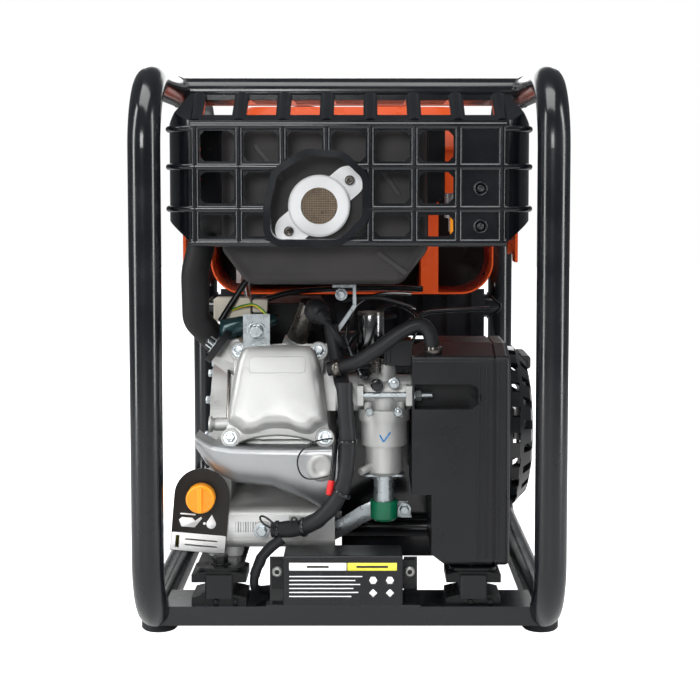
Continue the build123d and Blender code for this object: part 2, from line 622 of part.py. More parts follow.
def throttle_lever():
    """Lever on the throttle spindle, above the carburettor body."""
    x, y, low = CARB_X - 21, CARB_Y - 6, CARB_Z + 18.5
    arm = block(x - 4, x + 4, y - 26, y, low, low + 2) + rod_z(4, low, low + 2, x, y - 26)
    return arm + rod_z(6, low, low + 5, x, y)


def filter_profile(x0, x1, shrink=0.0):
    """Filter box seen along X, with a sloped front top edge."""
    front, back = FILTER_FRONT + shrink, FILTER_BACK - shrink
    low, high = FILTER_LOW + shrink, FILTER_HIGH - shrink
    outline = Polyline((front, low), (back, low), (back, high), (front + 36, high),
                       (front, high - 12), close=True)
    solid = Pos(x0, 0, 0) * extrude(Plane.YZ * make_face(outline), x1 - x0)
    return fillet(solid.edges().filter_by(Axis.X), 7 - shrink)


def air_filter_case():
    """Deep box with a side step, a recess for the stud and a hollow inside."""
    case = filter_profile(FILTER_LEFT, FILTER_JOIN)
    case = case - block(FILTER_LEFT - 1, FILTER_LEFT + 20, FILTER_FRONT - 1, FILTER_BACK + 1, 0, 149)
    for corner in (((62, 289), (62, 310), (98, 310), (98, 303.5)),
                   ((83, 60), (83, 88), (101, 74), (101, 60))):
        case = case - front_plate(Polygon(*corner, align=None), FILTER_BACK + 1, FILTER_FRONT - 1)
    hollow = filter_profile(FILTER_LEFT + 24, FILTER_JOIN + 1, 3.5)
    hollow = hollow - block(FILTER_LEFT, 138, FILTER_FRONT, CARB_Y - 16, 230, 270)
    case = case - hollow
    recess = block(FILTER_LEFT + 2, 121, FILTER_FRONT - 1, FILTER_FRONT + 25, 237, 263)
    recess = recess + rod_y(13, FILTER_FRONT - 1, FILTER_FRONT + 25, 121, 250)
    case = case - recess
    case = case - rod_x(11, FILTER_LEFT - 1, FILTER_LEFT + 30, CARB_Y, CARB_Z)
    for y in (CARB_Y - 26, CARB_Y + 26):
        case = case - rod_x(3.2, FILTER_LEFT - 1, FILTER_LEFT + 26, y, CARB_Z)
    case = case - rod_x(6.5, FILTER_LEFT + 4, FILTER_LEFT + 25, CARB_Y + 26, CARB_Z)
    return case


def air_filter_cover():
    """Shallow lid with a lip round the joint."""
    cover = filter_profile(FILTER_JOIN, FILTER_RIGHT)
    cover = fillet(cover.faces().sort_by(Axis.X)[-1].edges(), 5)
    groove = filter_profile(FILTER_JOIN + 8, FILTER_JOIN + 11) - filter_profile(
        FILTER_JOIN + 8, FILTER_JOIN + 11, 1.5)
    return cover - filter_profile(FILTER_JOIN - 1, FILTER_RIGHT - 6, 4) - groove


def filter_element():
    foam = block(FILTER_LEFT + 46, FILTER_RIGHT - 8, FILTER_FRONT + 30, FILTER_BACK - 10, 100, 280)
    return fillet(foam.edges().filter_by(Axis.X), 8)


HOSE_ROUTE = ((-22, -204, 276), (2, -210, 280), (28, -212, 297), (52, -212, 315), (72, -212, 325),
              (84, -212, 315), (86, -211, 289.5))


def breather_hose():
    """Rubber hose from the valve cover to the air filter."""
    return run_tube(HOSE_ROUTE, HOSE_R) - filter_profile(FILTER_LEFT, FILTER_JOIN)


# ------------------------------------------------------------------ exhaust
PIPE_END = (MUFFLER_LEFT, -150, 425)


def exhaust_pipe():
    """Bent pipe from the head flange up into the muffler's side."""
    seat = Vector(*EXHAUST_SEAT)
    route = (tuple(seat + EXHAUST_OUT * 7), (-164, -152, 322), (-165, -154, 372),
             (-152, -150, 425), PIPE_END)
    pipe = run_tube(route, PIPE_R, 12, [16, 60, 13])
    pipe = pipe + between(16, seat + EXHAUST_OUT * 7, seat + EXHAUST_OUT * 10)
    plane = Plane(origin=seat, x_dir=(0, 1, 0), z_dir=EXHAUST_OUT)
    flange = extrude(plane * SlotOverall(76, 40), 7)
    flange = flange - between(12, seat - EXHAUST_OUT * 2, seat + EXHAUST_OUT * 12)
    nuts = []
    for side in (-1, 1):
        nuts.append(hexagon(12, 9, seat + Vector(0, 27 * side, 0) + EXHAUST_OUT * 7, EXHAUST_OUT))
    return joined([pipe, flange] + nuts) - between(12, seat - EXHAUST_OUT * 2, seat + EXHAUST_OUT * 14)


def muffler():
    """Pressed two-half box with tapered lower corners and a seam."""
    outline = Polygon((MUFFLER_LEFT + 26, MUFFLER_LOW), (MUFFLER_RIGHT - 26, MUFFLER_LOW),
                      (MUFFLER_RIGHT, MUFFLER_LOW + 34), (MUFFLER_RIGHT, MUFFLER_HIGH),
                      (MUFFLER_LEFT, MUFFLER_HIGH), (MUFFLER_LEFT, MUFFLER_LOW + 34), align=None)
    outline = fillet(outline.vertices(), 14)
    seat = Plane(origin=(0, MUFFLER_BACK, 0), x_dir=(1, 0, 0), z_dir=(0, -1, 0))
    depth = MUFFLER_BACK - MUFFLER_FRONT
    body = extrude(seat * outline, depth)
    body = fillet(body.edges().group_by(Axis.Y)[0], 12)
    seam = Plane(origin=(0, MUFFLER_BACK - depth / 2, 0), x_dir=(1, 0, 0), z_dir=(0, -1, 0))
    inner = Pos(0, -3, 0) * extrude(seat * offset(outline, -2.5), depth - 8)
    body = body + extrude(seam * offset(outline, 4), 3) - inner
    return body - rod_x(PIPE_R, MUFFLER_LEFT - 8, MUFFLER_LEFT + 8, -150, 425) - rod_y(
        18, MUFFLER_FRONT - 1, MUFFLER_FRONT + 12, OUTLET_X, OUTLET_Z)


def muffler_outlet():
    """Cast outlet flange: round face with two screwed ears."""
    seat = Plane(origin=(OUTLET_X, MUFFLER_FRONT, OUTLET_Z), x_dir=(1, 0, 0), z_dir=(0, -1, 0))
    ears = seat * Rot(0, 0, 40) * SlotOverall(106, 32)
    body = extrude(ears, 5) + extrude(seat * Circle(31), 14)
    body = fillet(body.edges().filter_by(GeomType.CIRCLE).sort_by(Axis.Y)[0], 3)
    for side in (-1, 1):
        x, z = OUTLET_X + side * 30.5, OUTLET_Z + side * 25.5
        body = body + rod_y(4.5, MUFFLER_FRONT - 8, MUFFLER_FRONT - 5, x, z)
    return body - rod_y(18.3, MUFFLER_FRONT - 20, MUFFLER_FRONT + 3, OUTLET_X, OUTLET_Z)


def spark_arrestor():
    """Domed wire screen in the outlet, as one perforated disc."""
    screen = rod_y(18.2, MUFFLER_FRONT - 9, MUFFLER_FRONT - 6, OUTLET_X, OUTLET_Z)
    return screen


def guard_shell(shrink=0.0):
    """Guard's outer form: flat front, rounded to the sides, sloping up to the top."""
    front, half, edge = GUARD_FRONT + shrink, GUARD_HALF - shrink, 157.0 - shrink
    outline = make_face(
        Line((-edge, front), (edge, front))
        + ThreePointArc((edge, front), (half - 6, front + 16), (half, front + 44))
        + Line((half, front + 44), (half, GUARD_BACK))
        + Line((half, GUARD_BACK), (-half, GUARD_BACK))
        + Line((-half, GUARD_BACK), (-half, front + 44))
        + ThreePointArc((-half, front + 44), (-half + 6, front + 16), (-edge, front))
    )
    body = extrude(Plane(origin=(0, 0, GUARD_LOW)) * outline, GUARD_HIGH - GUARD_LOW - shrink)
    rise = GUARD_HIGH - GUARD_EDGE
    slope = Polyline((front - 1, GUARD_EDGE - shrink), (front + 44, GUARD_EDGE + rise - shrink),
                     (front + 44, 700), (front - 1, 700), close=True)
    wedge = Pos(-250, 0, 0) * extrude(Plane.YZ * make_face(slope), 500)
    low, high = GUARD_LOW - 1, GUARD_HIGH + 1
    corners = Polygon((-half + 31, low), (half - 31, low), (half, low + 26), (half, high - 32),
                      (half - 20, high),
                      (-half + 20, high), (-half, high - 32), (-half, low + 26), align=None)
    return (body - wedge) & front_plate(corners, GUARD_BACK + 1, GUARD_FRONT - 10)


def guard_cell(x0, x1, z0, z1, corner=5):
    """Cell opening with clipped corners, cut through the front wall."""
    seat = Plane(origin=((x0 + x1) / 2, GUARD_FRONT + 14, (z0 + z1) / 2), x_dir=(1, 0, 0), z_dir=(0, -1, 0))
    return extrude(seat * chamfer(Rectangle(x1 - x0, z1 - z0).vertices(), corner), 30)


def window_outline(grow=0.0):
    """Opening round the exhaust outlet: high on its right side, straight along the bottom."""
    seat = Plane(origin=(0, GUARD_FRONT + 14, 0), x_dir=(1, 0, 0), z_dir=(0, -1, 0))
    outline = Polygon((-77, 412), (-10, 412), (13, 434), (13, 472), (-8, 492), (-42, 494), (-70, 476),
                      (-77, 446),
                      align=None)
    outline = fillet(outline.vertices(), 12)
    return seat * (offset(outline, grow) if grow else outline)


def muffler_guard():
    """Moulded cage in front of the muffler: lattice face, ribbed sides and slatted top."""
    guard = guard_shell() - (guard_shell(GUARD_WALL) - block(-300, 300, -300, 0, 0, GUARD_LOW - 1))
    guard = guard - block(-170, 170, GUARD_FRONT + 30, GUARD_BACK + 1, 0, GUARD_LOW + 60)
    columns = [GUARD_COLUMN + GUARD_PITCH * k for k in range(8)]
    ribs = []
    for x in columns:
        ribs.append(rod_z(GUARD_RIB_R, GUARD_ROW_RIBS[0], GUARD_ROW_RIBS[-1], x, GUARD_FRONT))
    for z in GUARD_ROW_RIBS:
        ribs.append(rod_x(GUARD_RIB_R, columns[0] - 4, columns[-1] + 4, GUARD_FRONT, z))
    guard = guard + joined(ribs)
    guard = guard + extrude(window_outline(7), 18)
    cells = []
    for left, right in zip(columns[:-2], columns[1:-1]):
        for z0, z1 in GUARD_ROWS:
            cells.append(guard_cell(left + 4.6, right - 4.6, z0, z1))
    rim = extrude(window_outline(7), 40)
    guard = guard - (joined(cells) - rim) - extrude(window_outline(), 40)
    for side in (-1, 1):
        for z0, z1 in ((418, 451), (461, 484), (494, 517)):
            guard = guard - block(side * 175 - 12, side * 175 + 12, GUARD_FRONT + 50, GUARD_BACK - 14,
                                  z0, z1)
    for left, right in zip(columns, columns[1:]):
        guard = guard - block(left + 7, right - 7, GUARD_FRONT + 9, GUARD_FRONT + 46, GUARD_EDGE - 5, 560)
        for k in range(8):
            y = GUARD_FRONT + 56 + 13 * k
            guard = guard - block(left + 7, right - 7, y, y + 8, GUARD_HIGH - 8, GUARD_HIGH + 2)
    bars = []
    slope = (0, 44, GUARD_HIGH - GUARD_EDGE)
    for x in columns:
        start = Vector(x, GUARD_FRONT + 3, GUARD_EDGE - 2)
        bars.append(between(6, start, start + Vector(*slope)))
    guard = guard + joined(bars)
    cut = Polyline((-200, 0), (-200, GUARD_LOW), (GUARD_BACK + 1, GUARD_LOW + 62),
                   (GUARD_BACK + 1, 0), close=True)
    return guard - Pos(-300, 0, 0) * extrude(Plane.YZ * make_face(cut), 600)


# ------------------------------------------------------------------ fuel
def tank_body(shrink=0.0):
    """Lower pan and sloping dome joined at the seam."""
    width, depth = 2 * (TANK_HALF - 7 - shrink), TANK_BACK - TANK_FRONT - 14 - 2 * shrink
    middle = (TANK_FRONT + TANK_BACK) / 2
    pan = extrude(Pos(0, middle, TANK_LOW + shrink) * RectangleRounded(width, depth, 30 - shrink),
                  TANK_SEAM - TANK_LOW - shrink)
    base = Pos(0, middle, TANK_SEAM) * RectangleRounded(width, depth, 30 - shrink)
    crown = Pos(0, middle, TANK_TOP - shrink) * RectangleRounded(width - 100, depth - 90, 30 - shrink)
    return pan + loft([base, crown])


def fuel_tank():
    """Pressed tank with a seam flange and filler neck, hollow."""
    middle = (TANK_FRONT + TANK_BACK) / 2
    tank = tank_body() - tank_body(SHEET)
    seam = RectangleRounded(2 * TANK_HALF, TANK_BACK - TANK_FRONT, 34)
    inner = RectangleRounded(2 * TANK_HALF - 16, TANK_BACK - TANK_FRONT - 16, 28)
    tank = tank + extrude(Pos(0, middle, TANK_SEAM - 1.5) * (seam - inner), 3)
    tank = tank + rod_z(24, TANK_TOP - 4, TANK_TOP + 8, CAP_X, CAP_Y)
    return tank - rod_z(20, TANK_TOP - 10, TANK_TOP + 9, CAP_X, CAP_Y)


def fuel_cap():
    """Bayonet cap with a knurled rim."""
    cap = rod_z(32, TANK_TOP + 8.3, TANK_TOP + 26, CAP_X, CAP_Y)
    cap = fillet(cap.edges().sort_by(Axis.Z)[-1], 4)
    for k in range(18):
        notch = Rot(0, 0, 20 * k) * Pos(33, 0, TANK_TOP + 15) * Cylinder(2.4, 30)
        cap = cap - Pos(CAP_X, CAP_Y, 0) * notch
    return cap + rod_z(19.7, TANK_TOP - 2, TANK_TOP + 9, CAP_X, CAP_Y)


def fuel_valve():
    """Tap under the tank with an outlet spigot."""
    x, y = 120.0, 40.0
    body = rod_z(9, TANK_LOW - 30, TANK_LOW, x, y) + rod_y(8, y - 24, y + 10, x, TANK_LOW - 20)
    return body + rod_z(4, TANK_LOW - 46, TANK_LOW - 29, x, y)


def fuel_valve_lever():
    x, y, z = 120.0, 40.0, TANK_LOW - 20
    hub = rod_y(8, y - 34, y - 24.3, x, z)
    return hub + fillet(block(x - 4, x + 4, y - 33, y - 27, z - 30, z).edges().filter_by(Axis.Y), 3)


def tank_brackets():
    """Folded tabs that carry the tank and the guard on the loops' inner sides."""
    tabs = []
    for side in (-1, 1):
        x0, x1 = sorted((side * 181, side * (CLEAR_X - 0.5)))
        tabs.append(block(x0, x1, GUARD_BACK + 2, 150, 470, 500))
        gusset = Polyline((GUARD_BACK - 4, 380), (-70, 380), (-20, 470), (GUARD_BACK - 4, 478), close=True)
        x = 181 if side > 0 else -184
        tabs.append(Pos(x, 0, 0) * extrude(Plane.YZ * make_face(gusset), 3))
        for y, z in ((-84, 396), (-84, 456)):
            tabs.append(hexagon(13, 7, (x, y, z), (-side, 0, 0)))
    return joined(tabs)


def zinc_brackets():
    """Thin cranked stay under the muffler and the coil plate."""
    crank = Polygon((3, 361), (6.4, 361), (6.8, 338), (-12, 310), (-15.3, 313), (3, 339), align=None)
    stay = front_plate(crank, -164, -176) + block(-18, 6.4, -178, -164, 358, 361)
    plate = block(-112, -84, -176, -173, 294, 330)
    plate = plate + flange_bolt((-98, -176, 312), (0, -1, 0), 10)
    return joined([stay, plate])


def black_shrouds():
    """Heat shield behind the muffler, skirt under the panel and cover in front of the alternator."""
    outline = Polygon((-165, 436), (-128, 388), (70, 388), (88, 440), (104, 452), (104, 540),
                      (-165, 540), align=None)
    shield = front_plate(fillet(outline.vertices(), 6), SHIELD_Y, SHIELD_Y - 1.5)
    for x in (-80, 40):
        shield = shield + rod_y(6, MUFFLER_BACK, SHIELD_Y, x, 470)
    skirt = block(-176, 176, 236, 238, 262, PANEL_LOW)
    for x in range(-160, 161, 32):
        skirt = skirt + block(x - 2, x + 2, 230, 237, 264, PANEL_LOW - 1)
    cover = block(-10, 100, -97.5, -95.5, COVER_LOW, 256)
    cover = cover + block(-10, 100, -96, -93, COVER_LOW, COVER_LOW + 5)
    cover = cover + rod_x(11, -8, 98, -108, 88)
    cover = cover + block(-8, 98, -108, -96, 84, 92)
    return joined([shield, skirt, cover])


# ------------------------------------------------------------------ control panel
def panel_shell():
    """Housing open towards the engine, with rounded lower corners and an upright stiffener."""
    def outline(shrink):
        low = PANEL_LOW + shrink
        sketch = make_face(
            Line((-PANEL_HALF + shrink, PANEL_HIGH - shrink), (-PANEL_HALF + shrink, PANEL_LOW + 42))
            + RadiusArc((-PANEL_HALF + shrink, PANEL_LOW + 42), (-PANEL_HALF + 42, low), -(42 - shrink))
            + Line((-PANEL_HALF + 42, low), (PANEL_HALF - 42, low))
            + RadiusArc((PANEL_HALF - 42, low), (PANEL_HALF - shrink, PANEL_LOW + 42), -(42 - shrink))
            + Line((PANEL_HALF - shrink, PANEL_LOW + 42), (PANEL_HALF - shrink, PANEL_HIGH - shrink))
            + Line((PANEL_HALF - shrink, PANEL_HIGH - shrink), (-PANEL_HALF + shrink, PANEL_HIGH - shrink))
        )
        return Plane(origin=(0, PANEL_FRONT, 0), x_dir=(1, 0, 0), z_dir=(0, -1, 0)) * sketch
    depth = PANEL_BACK - PANEL_FRONT
    shell = extrude(outline(0), -depth) - Pos(0, -1, 0) * extrude(outline(SHEET), -depth - 5)
    stiffener = block(88, 110, PANEL_FRONT, PANEL_BACK, PANEL_LOW + 1, PANEL_HIGH - 1)
    return shell + (stiffener - block(90, 111, PANEL_FRONT + 2, PANEL_BACK + 1, 0, 999))


SWITCH_X, BREAKER_X = -130.0, -75.0
OUTLET_POSITIONS = (-10.0, 55.0)
PANEL_Z = 392.0
FACE_BACK = PANEL_BACK + 3


def panel_face():
    """Plate that closes the housing, with two recessed outlets and control openings."""
    seat = Plane(origin=(0, PANEL_BACK, 0), x_dir=(-1, 0, 0), z_dir=(0, 1, 0))
    plate = extrude(seat * Pos(0, (PANEL_LOW + PANEL_HIGH) / 2) * RectangleRounded(
        2 * PANEL_HALF - 4, PANEL_HIGH - PANEL_LOW - 4, 38), 3)
    for x in OUTLET_POSITIONS:
        plate = plate + rod_y(27, PANEL_BACK - 26, FACE_BACK + 2, x, PANEL_Z)
        plate = plate - rod_y(22, PANEL_BACK - 22, FACE_BACK + 3, x, PANEL_Z)
        for dx in (-9.5, 9.5):
            plate = plate - rod_y(2.6, PANEL_BACK - 27, PANEL_BACK - 20, x + dx, PANEL_Z)
    plate = plate - rod_y(5.3, PANEL_BACK - 1, FACE_BACK + 1, SWITCH_X, PANEL_Z)
    return plate - rod_y(7.3, PANEL_BACK - 1, FACE_BACK + 1, BREAKER_X, PANEL_Z)


def outlet_flap(x):
    """Sprung lid over an outlet, hinged along its top edge."""
    seat = Plane(origin=(x, FACE_BACK + 2.4, PANEL_Z), x_dir=(-1, 0, 0), z_dir=(0, 1, 0))
    lid = extrude(seat * (Circle(29) + Pos(0, 16) * RectangleRounded(44, 38, 4)), 3)
    return lid + rod_x(3, x - 18, x + 18, FACE_BACK + 5.4, PANEL_Z + 33)


def engine_switch():
    """Rotary switch knob on its spindle."""
    knob = rod_y(17, FACE_BACK + 0.4, FACE_BACK + 8, SWITCH_X, PANEL_Z)
    grip = block(SWITCH_X - 3.5, SWITCH_X + 3.5, FACE_BACK + 6, FACE_BACK + 16, PANEL_Z - 15, PANEL_Z + 15)
    stem = rod_y(5.2, PANEL_BACK - 8, FACE_BACK + 1, SWITCH_X, PANEL_Z)
    return knob + fillet(grip.edges().filter_by(Axis.Y), 3) + stem


def breaker_button():
    return rod_y(7, PANEL_BACK - 3, FACE_BACK + 5, BREAKER_X, PANEL_Z)


def inverter_module():
    """Finned power module inside the housing."""
    body = block(-150, 60, PANEL_FRONT + 30, PANEL_BACK - 34, PANEL_LOW + 12, PANEL_HIGH - 20)
    for k in range(12):
        x = -144 + 17 * k
        body = body - block(x, x + 11, PANEL_FRONT + 29, PANEL_FRONT + 46, 0, 999)
    return body


NODES = {
    "left_loop": side_loop(-LOOP_X),
    "right_loop": side_loop(LOOP_X),
    "cross_tubes": joined([cross_tube(TOP_TUBE_Y, LOOP_HIGH), cross_tube(LOOP_Y, REAR_TUBE_Z)]),
    "base_rails": base_rails(),
    "rubber_feet": rubber_feet(),
    "mount_cups": mount_cups(),
    "mount_rubbers": mount_rubbers(),
    "engine_cradle": engine_cradle(),
    "crankcase_block": crankcase_block(),
    "crankcase_cover": crankcase_cover(),
    "cylinder_head": cylinder_head(),
    "valve_cover": valve_cover(),
    "engine_bolts": engine_bolts(),
    "side_shroud": side_shroud(),
    "oil_plug": oil_plug(),
    "oil_tag": oil_tag(),
    "crankshaft": crankshaft(),
    "piston": piston(),
    "alternator_stator": alternator_stator(),
    "alternator_rotor": alternator_rotor(),
    "cooling_fan": cooling_fan(),
    "alternator_housing": alternator_housing(),
    "fan_housing": fan_housing(),
    "recoil_cover": recoil_cover(),
    "recoil_handle": recoil_handle(),
    "spark_plug": spark_plug(),
    "plug_cap": plug_cap(),
    "ht_lead": ht_lead(),
    "ignition_coil": ignition_coil(),
    "wiring_loom": wiring_loom(),
    "battery": battery(),
    "carburettor": carburettor(),
    "float_bowl": float_bowl(),
    "fuel_solenoid": fuel_solenoid(),
    "solenoid_cap": solenoid_cap(),
    "choke_motor": choke_motor(),
    "throttle_lever": throttle_lever(),
    "air_filter_case": air_filter_case(),
    "air_filter_cover": air_filter_cover(),
    "filter_element": filter_element(),
    "breather_hose": breather_hose(),
    "exhaust_pipe": exhaust_pipe(),
    "muffler": muffler(),
    "muffler_outlet": muffler_outlet(),
    "spark_arrestor": spark_arrestor(),
    "muffler_guard": muffler_guard(),
    "fuel_tank": fuel_tank(),
    "fuel_cap": fuel_cap(),
    "fuel_valve": fuel_valve(),
    "fuel_valve_lever": fuel_valve_lever(),
    "tank_brackets": tank_brackets(),
    "zinc_brackets": zinc_brackets(),
    "black_shrouds": black_shrouds(),
    "panel_shell": panel_shell(),
    "panel_face": panel_face(),
    "outlet_flap_left": outlet_flap(OUTLET_POSITIONS[0]),
    "outlet_flap_right": outlet_flap(OUTLET_POSITIONS[1]),
    "engine_switch": engine_switch(),
    "breaker_button": breaker_button(),
    "inverter_module": inverter_module(),
}

os.makedirs("parts", exist_ok=True)
for name, shape in NODES.items():
    export_step(shape, f"parts/{name}.step")

for name, route, radius in (("ht_lead", LEAD_ROUTE, LEAD_RADIUS), ("wiring_loom", LOOM_ROUTE, LOOM_RADIUS),
                            ("loom branch", BRANCH_ROUTE, BRANCH_RADIUS), ("breather_hose", HOSE_ROUTE, HOSE_R)):
    bends = bend_radii(route)
    length = FilletPolyline(*route, radius=bends).length
    filled = run_tube(route, radius).volume / (pi * radius ** 2 * length)
    print(f"{name}: radius {radius} mm, length {length:.0f} mm, tightest bend {min(bends):.1f} mm, "
          f"volume {filled:.3f} of section x length")
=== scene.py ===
import json
from math import cos, pi, radians, sin, tau

import bmesh
import bpy
from mathutils import Matrix, Vector, noise


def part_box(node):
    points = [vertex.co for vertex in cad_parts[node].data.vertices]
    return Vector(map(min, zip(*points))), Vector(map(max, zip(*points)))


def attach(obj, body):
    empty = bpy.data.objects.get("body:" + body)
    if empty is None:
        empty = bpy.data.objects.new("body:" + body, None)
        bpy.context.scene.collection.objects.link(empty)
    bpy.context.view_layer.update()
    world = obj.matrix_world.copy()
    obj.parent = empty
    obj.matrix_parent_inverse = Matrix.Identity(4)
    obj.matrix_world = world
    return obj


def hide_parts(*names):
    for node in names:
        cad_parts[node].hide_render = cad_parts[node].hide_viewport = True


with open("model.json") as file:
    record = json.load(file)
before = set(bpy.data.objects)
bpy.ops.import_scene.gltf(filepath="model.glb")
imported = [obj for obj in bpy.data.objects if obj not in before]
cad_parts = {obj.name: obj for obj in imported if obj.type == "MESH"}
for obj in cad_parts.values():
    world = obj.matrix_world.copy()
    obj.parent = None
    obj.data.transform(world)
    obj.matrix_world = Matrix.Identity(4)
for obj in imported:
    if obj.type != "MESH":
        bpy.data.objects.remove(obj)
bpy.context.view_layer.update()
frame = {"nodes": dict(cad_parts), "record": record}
MM = 0.001
RIGHT, UP, FRONT, BACK = (1, 0, 0), (0, 0, 1), (0, -1, 0), (0, 1, 0)


def corners(node):
    """Lowest and highest corner of a CAD node, in millimetres."""
    low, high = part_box(node)
    return low / MM, high / MM


# ------------------------------------------------------------------ materials
def noise_texture(nodes, links, coords, scale, detail=3.0, rough=0.55):
    """Noise in the object's own coordinates."""
    texture = nodes.new("ShaderNodeTexNoise")
    texture.inputs["Scale"].default_value = scale
    texture.inputs["Detail"].default_value = detail
    texture.inputs["Roughness"].default_value = rough
    links.new(coords.outputs["Object"], texture.inputs["Vector"])
    return texture


def ramp_between(nodes, links, source, low, high, start=0.3, stop=0.7):
    """Colour ramp from low to high as the source goes from start to stop."""
    ramp = nodes.new("ShaderNodeValToRGB")
    ramp.color_ramp.elements[0].position = start
    ramp.color_ramp.elements[1].position = stop
    ramp.color_ramp.elements[0].color = (*low, 1)
    ramp.color_ramp.elements[1].color = (*high, 1)
    links.new(source, ramp.inputs["Fac"])
    return ramp


def surface(name, color, rough, metal=0.0, coat=0.0, tint=0.12, spread=0.08, cloud=22.0,
            grain=900.0, bump=0.15, depth=0.0003, dirt=None, specks=None, glint=0.28):
    """Procedural finish: cloudy colour, varied roughness, fine bump and optional grime or specks.

    Sizes of the noises are repeats per metre; glint is the specular level of what isn't metal."""
    material = bpy.data.materials.new(name)
    material.use_nodes = True
    nodes, links = material.node_tree.nodes, material.node_tree.links
    shader = nodes["Principled BSDF"]
    shader.inputs["Metallic"].default_value = metal
    shader.inputs["Coat Weight"].default_value = coat
    shader.inputs["Coat Roughness"].default_value = 0.12
    shader.inputs["Specular IOR Level"].default_value = 0.5 if metal else glint
    coords = nodes.new("ShaderNodeTexCoord")
    broad = noise_texture(nodes, links, coords, cloud, 4.0)
    low = [c * (1 - tint) for c in color]
    high = [min(1, c * (1 + tint)) for c in color]
    colour = ramp_between(nodes, links, broad.outputs["Fac"], low, high)
    result = colour.outputs["Color"]
    for extra in (dirt, specks):
        if not extra:
            continue
        shade, scale, edge = extra
        patch = noise_texture(nodes, links, coords, scale, 6.0, 0.7)
        mask = ramp_between(nodes, links, patch.outputs["Fac"], (0, 0, 0), (1, 1, 1), edge, edge + 0.12)
        mix = nodes.new("ShaderNodeMix")
        mix.data_type = "RGBA"
        links.new(mask.outputs["Color"], mix.inputs["Factor"])
        links.new(result, mix.inputs["A"])
        mix.inputs["B"].default_value = (*shade, 1)
        result = mix.outputs["Result"]
    links.new(result, shader.inputs["Base Color"])
    gloss = ramp_between(nodes, links, broad.outputs["Fac"], [max(0.03, rough - spread)] * 3,
                         [min(1, rough + spread)] * 3)
    links.new(gloss.outputs["Color"], shader.inputs["Roughness"])
    fine = noise_texture(nodes, links, coords, grain, 3.0)
    relief = nodes.new("ShaderNodeBump")
    relief.inputs["Strength"].default_value = bump
    relief.inputs["Distance"].default_value = depth
    links.new(fine.outputs["Fac"], relief.inputs["Height"])
    links.new(relief.outputs["Normal"], shader.inputs["Normal"])
    return material


MATERIALS = {
    "frame_black": surface("frame_black", (0.006, 0.007, 0.009), 0.22, coat=0.3, grain=260, bump=0.05,
                           specks=((0.02, 0.02, 0.023), 420, 0.72)),
    "black_steel": surface("black_steel", (0.005, 0.0055, 0.006), 0.30, coat=0.12, grain=500, bump=0.08,
                            glint=0.16),
    "rubber_black": surface("rubber_black", (0.012, 0.0125, 0.014), 0.5, tint=0.2, grain=1400, bump=0.12),
    "cast_aluminium": surface("cast_aluminium", (0.52, 0.525, 0.515), 0.45, metal=0.55, tint=0.06, grain=1500,
                              bump=0.35, depth=0.00035, dirt=((0.36, 0.355, 0.33), 26, 0.60)),
    "sheet_silver": surface("sheet_silver", (0.40, 0.41, 0.42), 0.40, metal=0.85, tint=0.05, grain=700,
                            bump=0.08),
    "zinc_steel": surface("zinc_steel", (0.45, 0.49, 0.51), 0.30, metal=0.85, tint=0.08, grain=900, bump=0.04,
                          cloud=120),
    "steel_dark": surface("steel_dark", (0.12, 0.11, 0.10), 0.25, metal=0.9, tint=0.35, cloud=90, bump=0.1),
    "orange_plastic": surface("orange_plastic", (0.93, 0.33, 0.01), 0.32, coat=0.3, tint=0.05, grain=800),
    "orange_paint": surface("orange_paint", (0.62, 0.075, 0.012), 0.30, coat=0.5, tint=0.06, grain=300,
                            bump=0.05),
    "printed_card": surface("printed_card", (0.016, 0.014, 0.012), 0.42, tint=0.1, grain=1500, bump=0.1),
    "black_plastic": surface("black_plastic", (0.011, 0.0115, 0.013), 0.33, tint=0.12, grain=1300, bump=0.35,
                             depth=0.00025, dirt=((0.02, 0.02, 0.021), 14, 0.62)),
    "gloss_black_plastic": surface("gloss_black_plastic", (0.007, 0.0075, 0.009), 0.20, coat=0.4, grain=500,
                                   bump=0.05),
    "guard_black": surface("guard_black", (0.005, 0.006, 0.008), 0.20, coat=0.4, tint=0.1, grain=380,
                           bump=0.06),
    "muffler_paint": surface("muffler_paint", (0.024, 0.022, 0.022), 0.50, tint=0.2, grain=1200, bump=0.3),
    "pipe_paint": surface("pipe_paint", (0.008, 0.008, 0.009), 0.62, tint=0.3, grain=1500, bump=0.4),
    "outlet_white": surface("outlet_white", (0.86, 0.87, 0.88), 0.38, tint=0.03, grain=1300, bump=0.15),
    "brass_mesh": surface("brass_mesh", (0.50, 0.40, 0.30), 0.35, metal=0.8, tint=0.2, cloud=300),
    "green_plastic": surface("green_plastic", (0.004, 0.16, 0.075), 0.28, coat=0.2, tint=0.15, grain=700),
    "copper_core": surface("copper_core", (0.45, 0.2, 0.08), 0.4, metal=0.7),
    "filter_foam": surface("filter_foam", (0.25, 0.25, 0.23), 0.9, grain=600, bump=0.8, depth=0.001),
    "socket_grey": surface("socket_grey", (0.06, 0.07, 0.085), 0.42, grain=1200, bump=0.2),
}
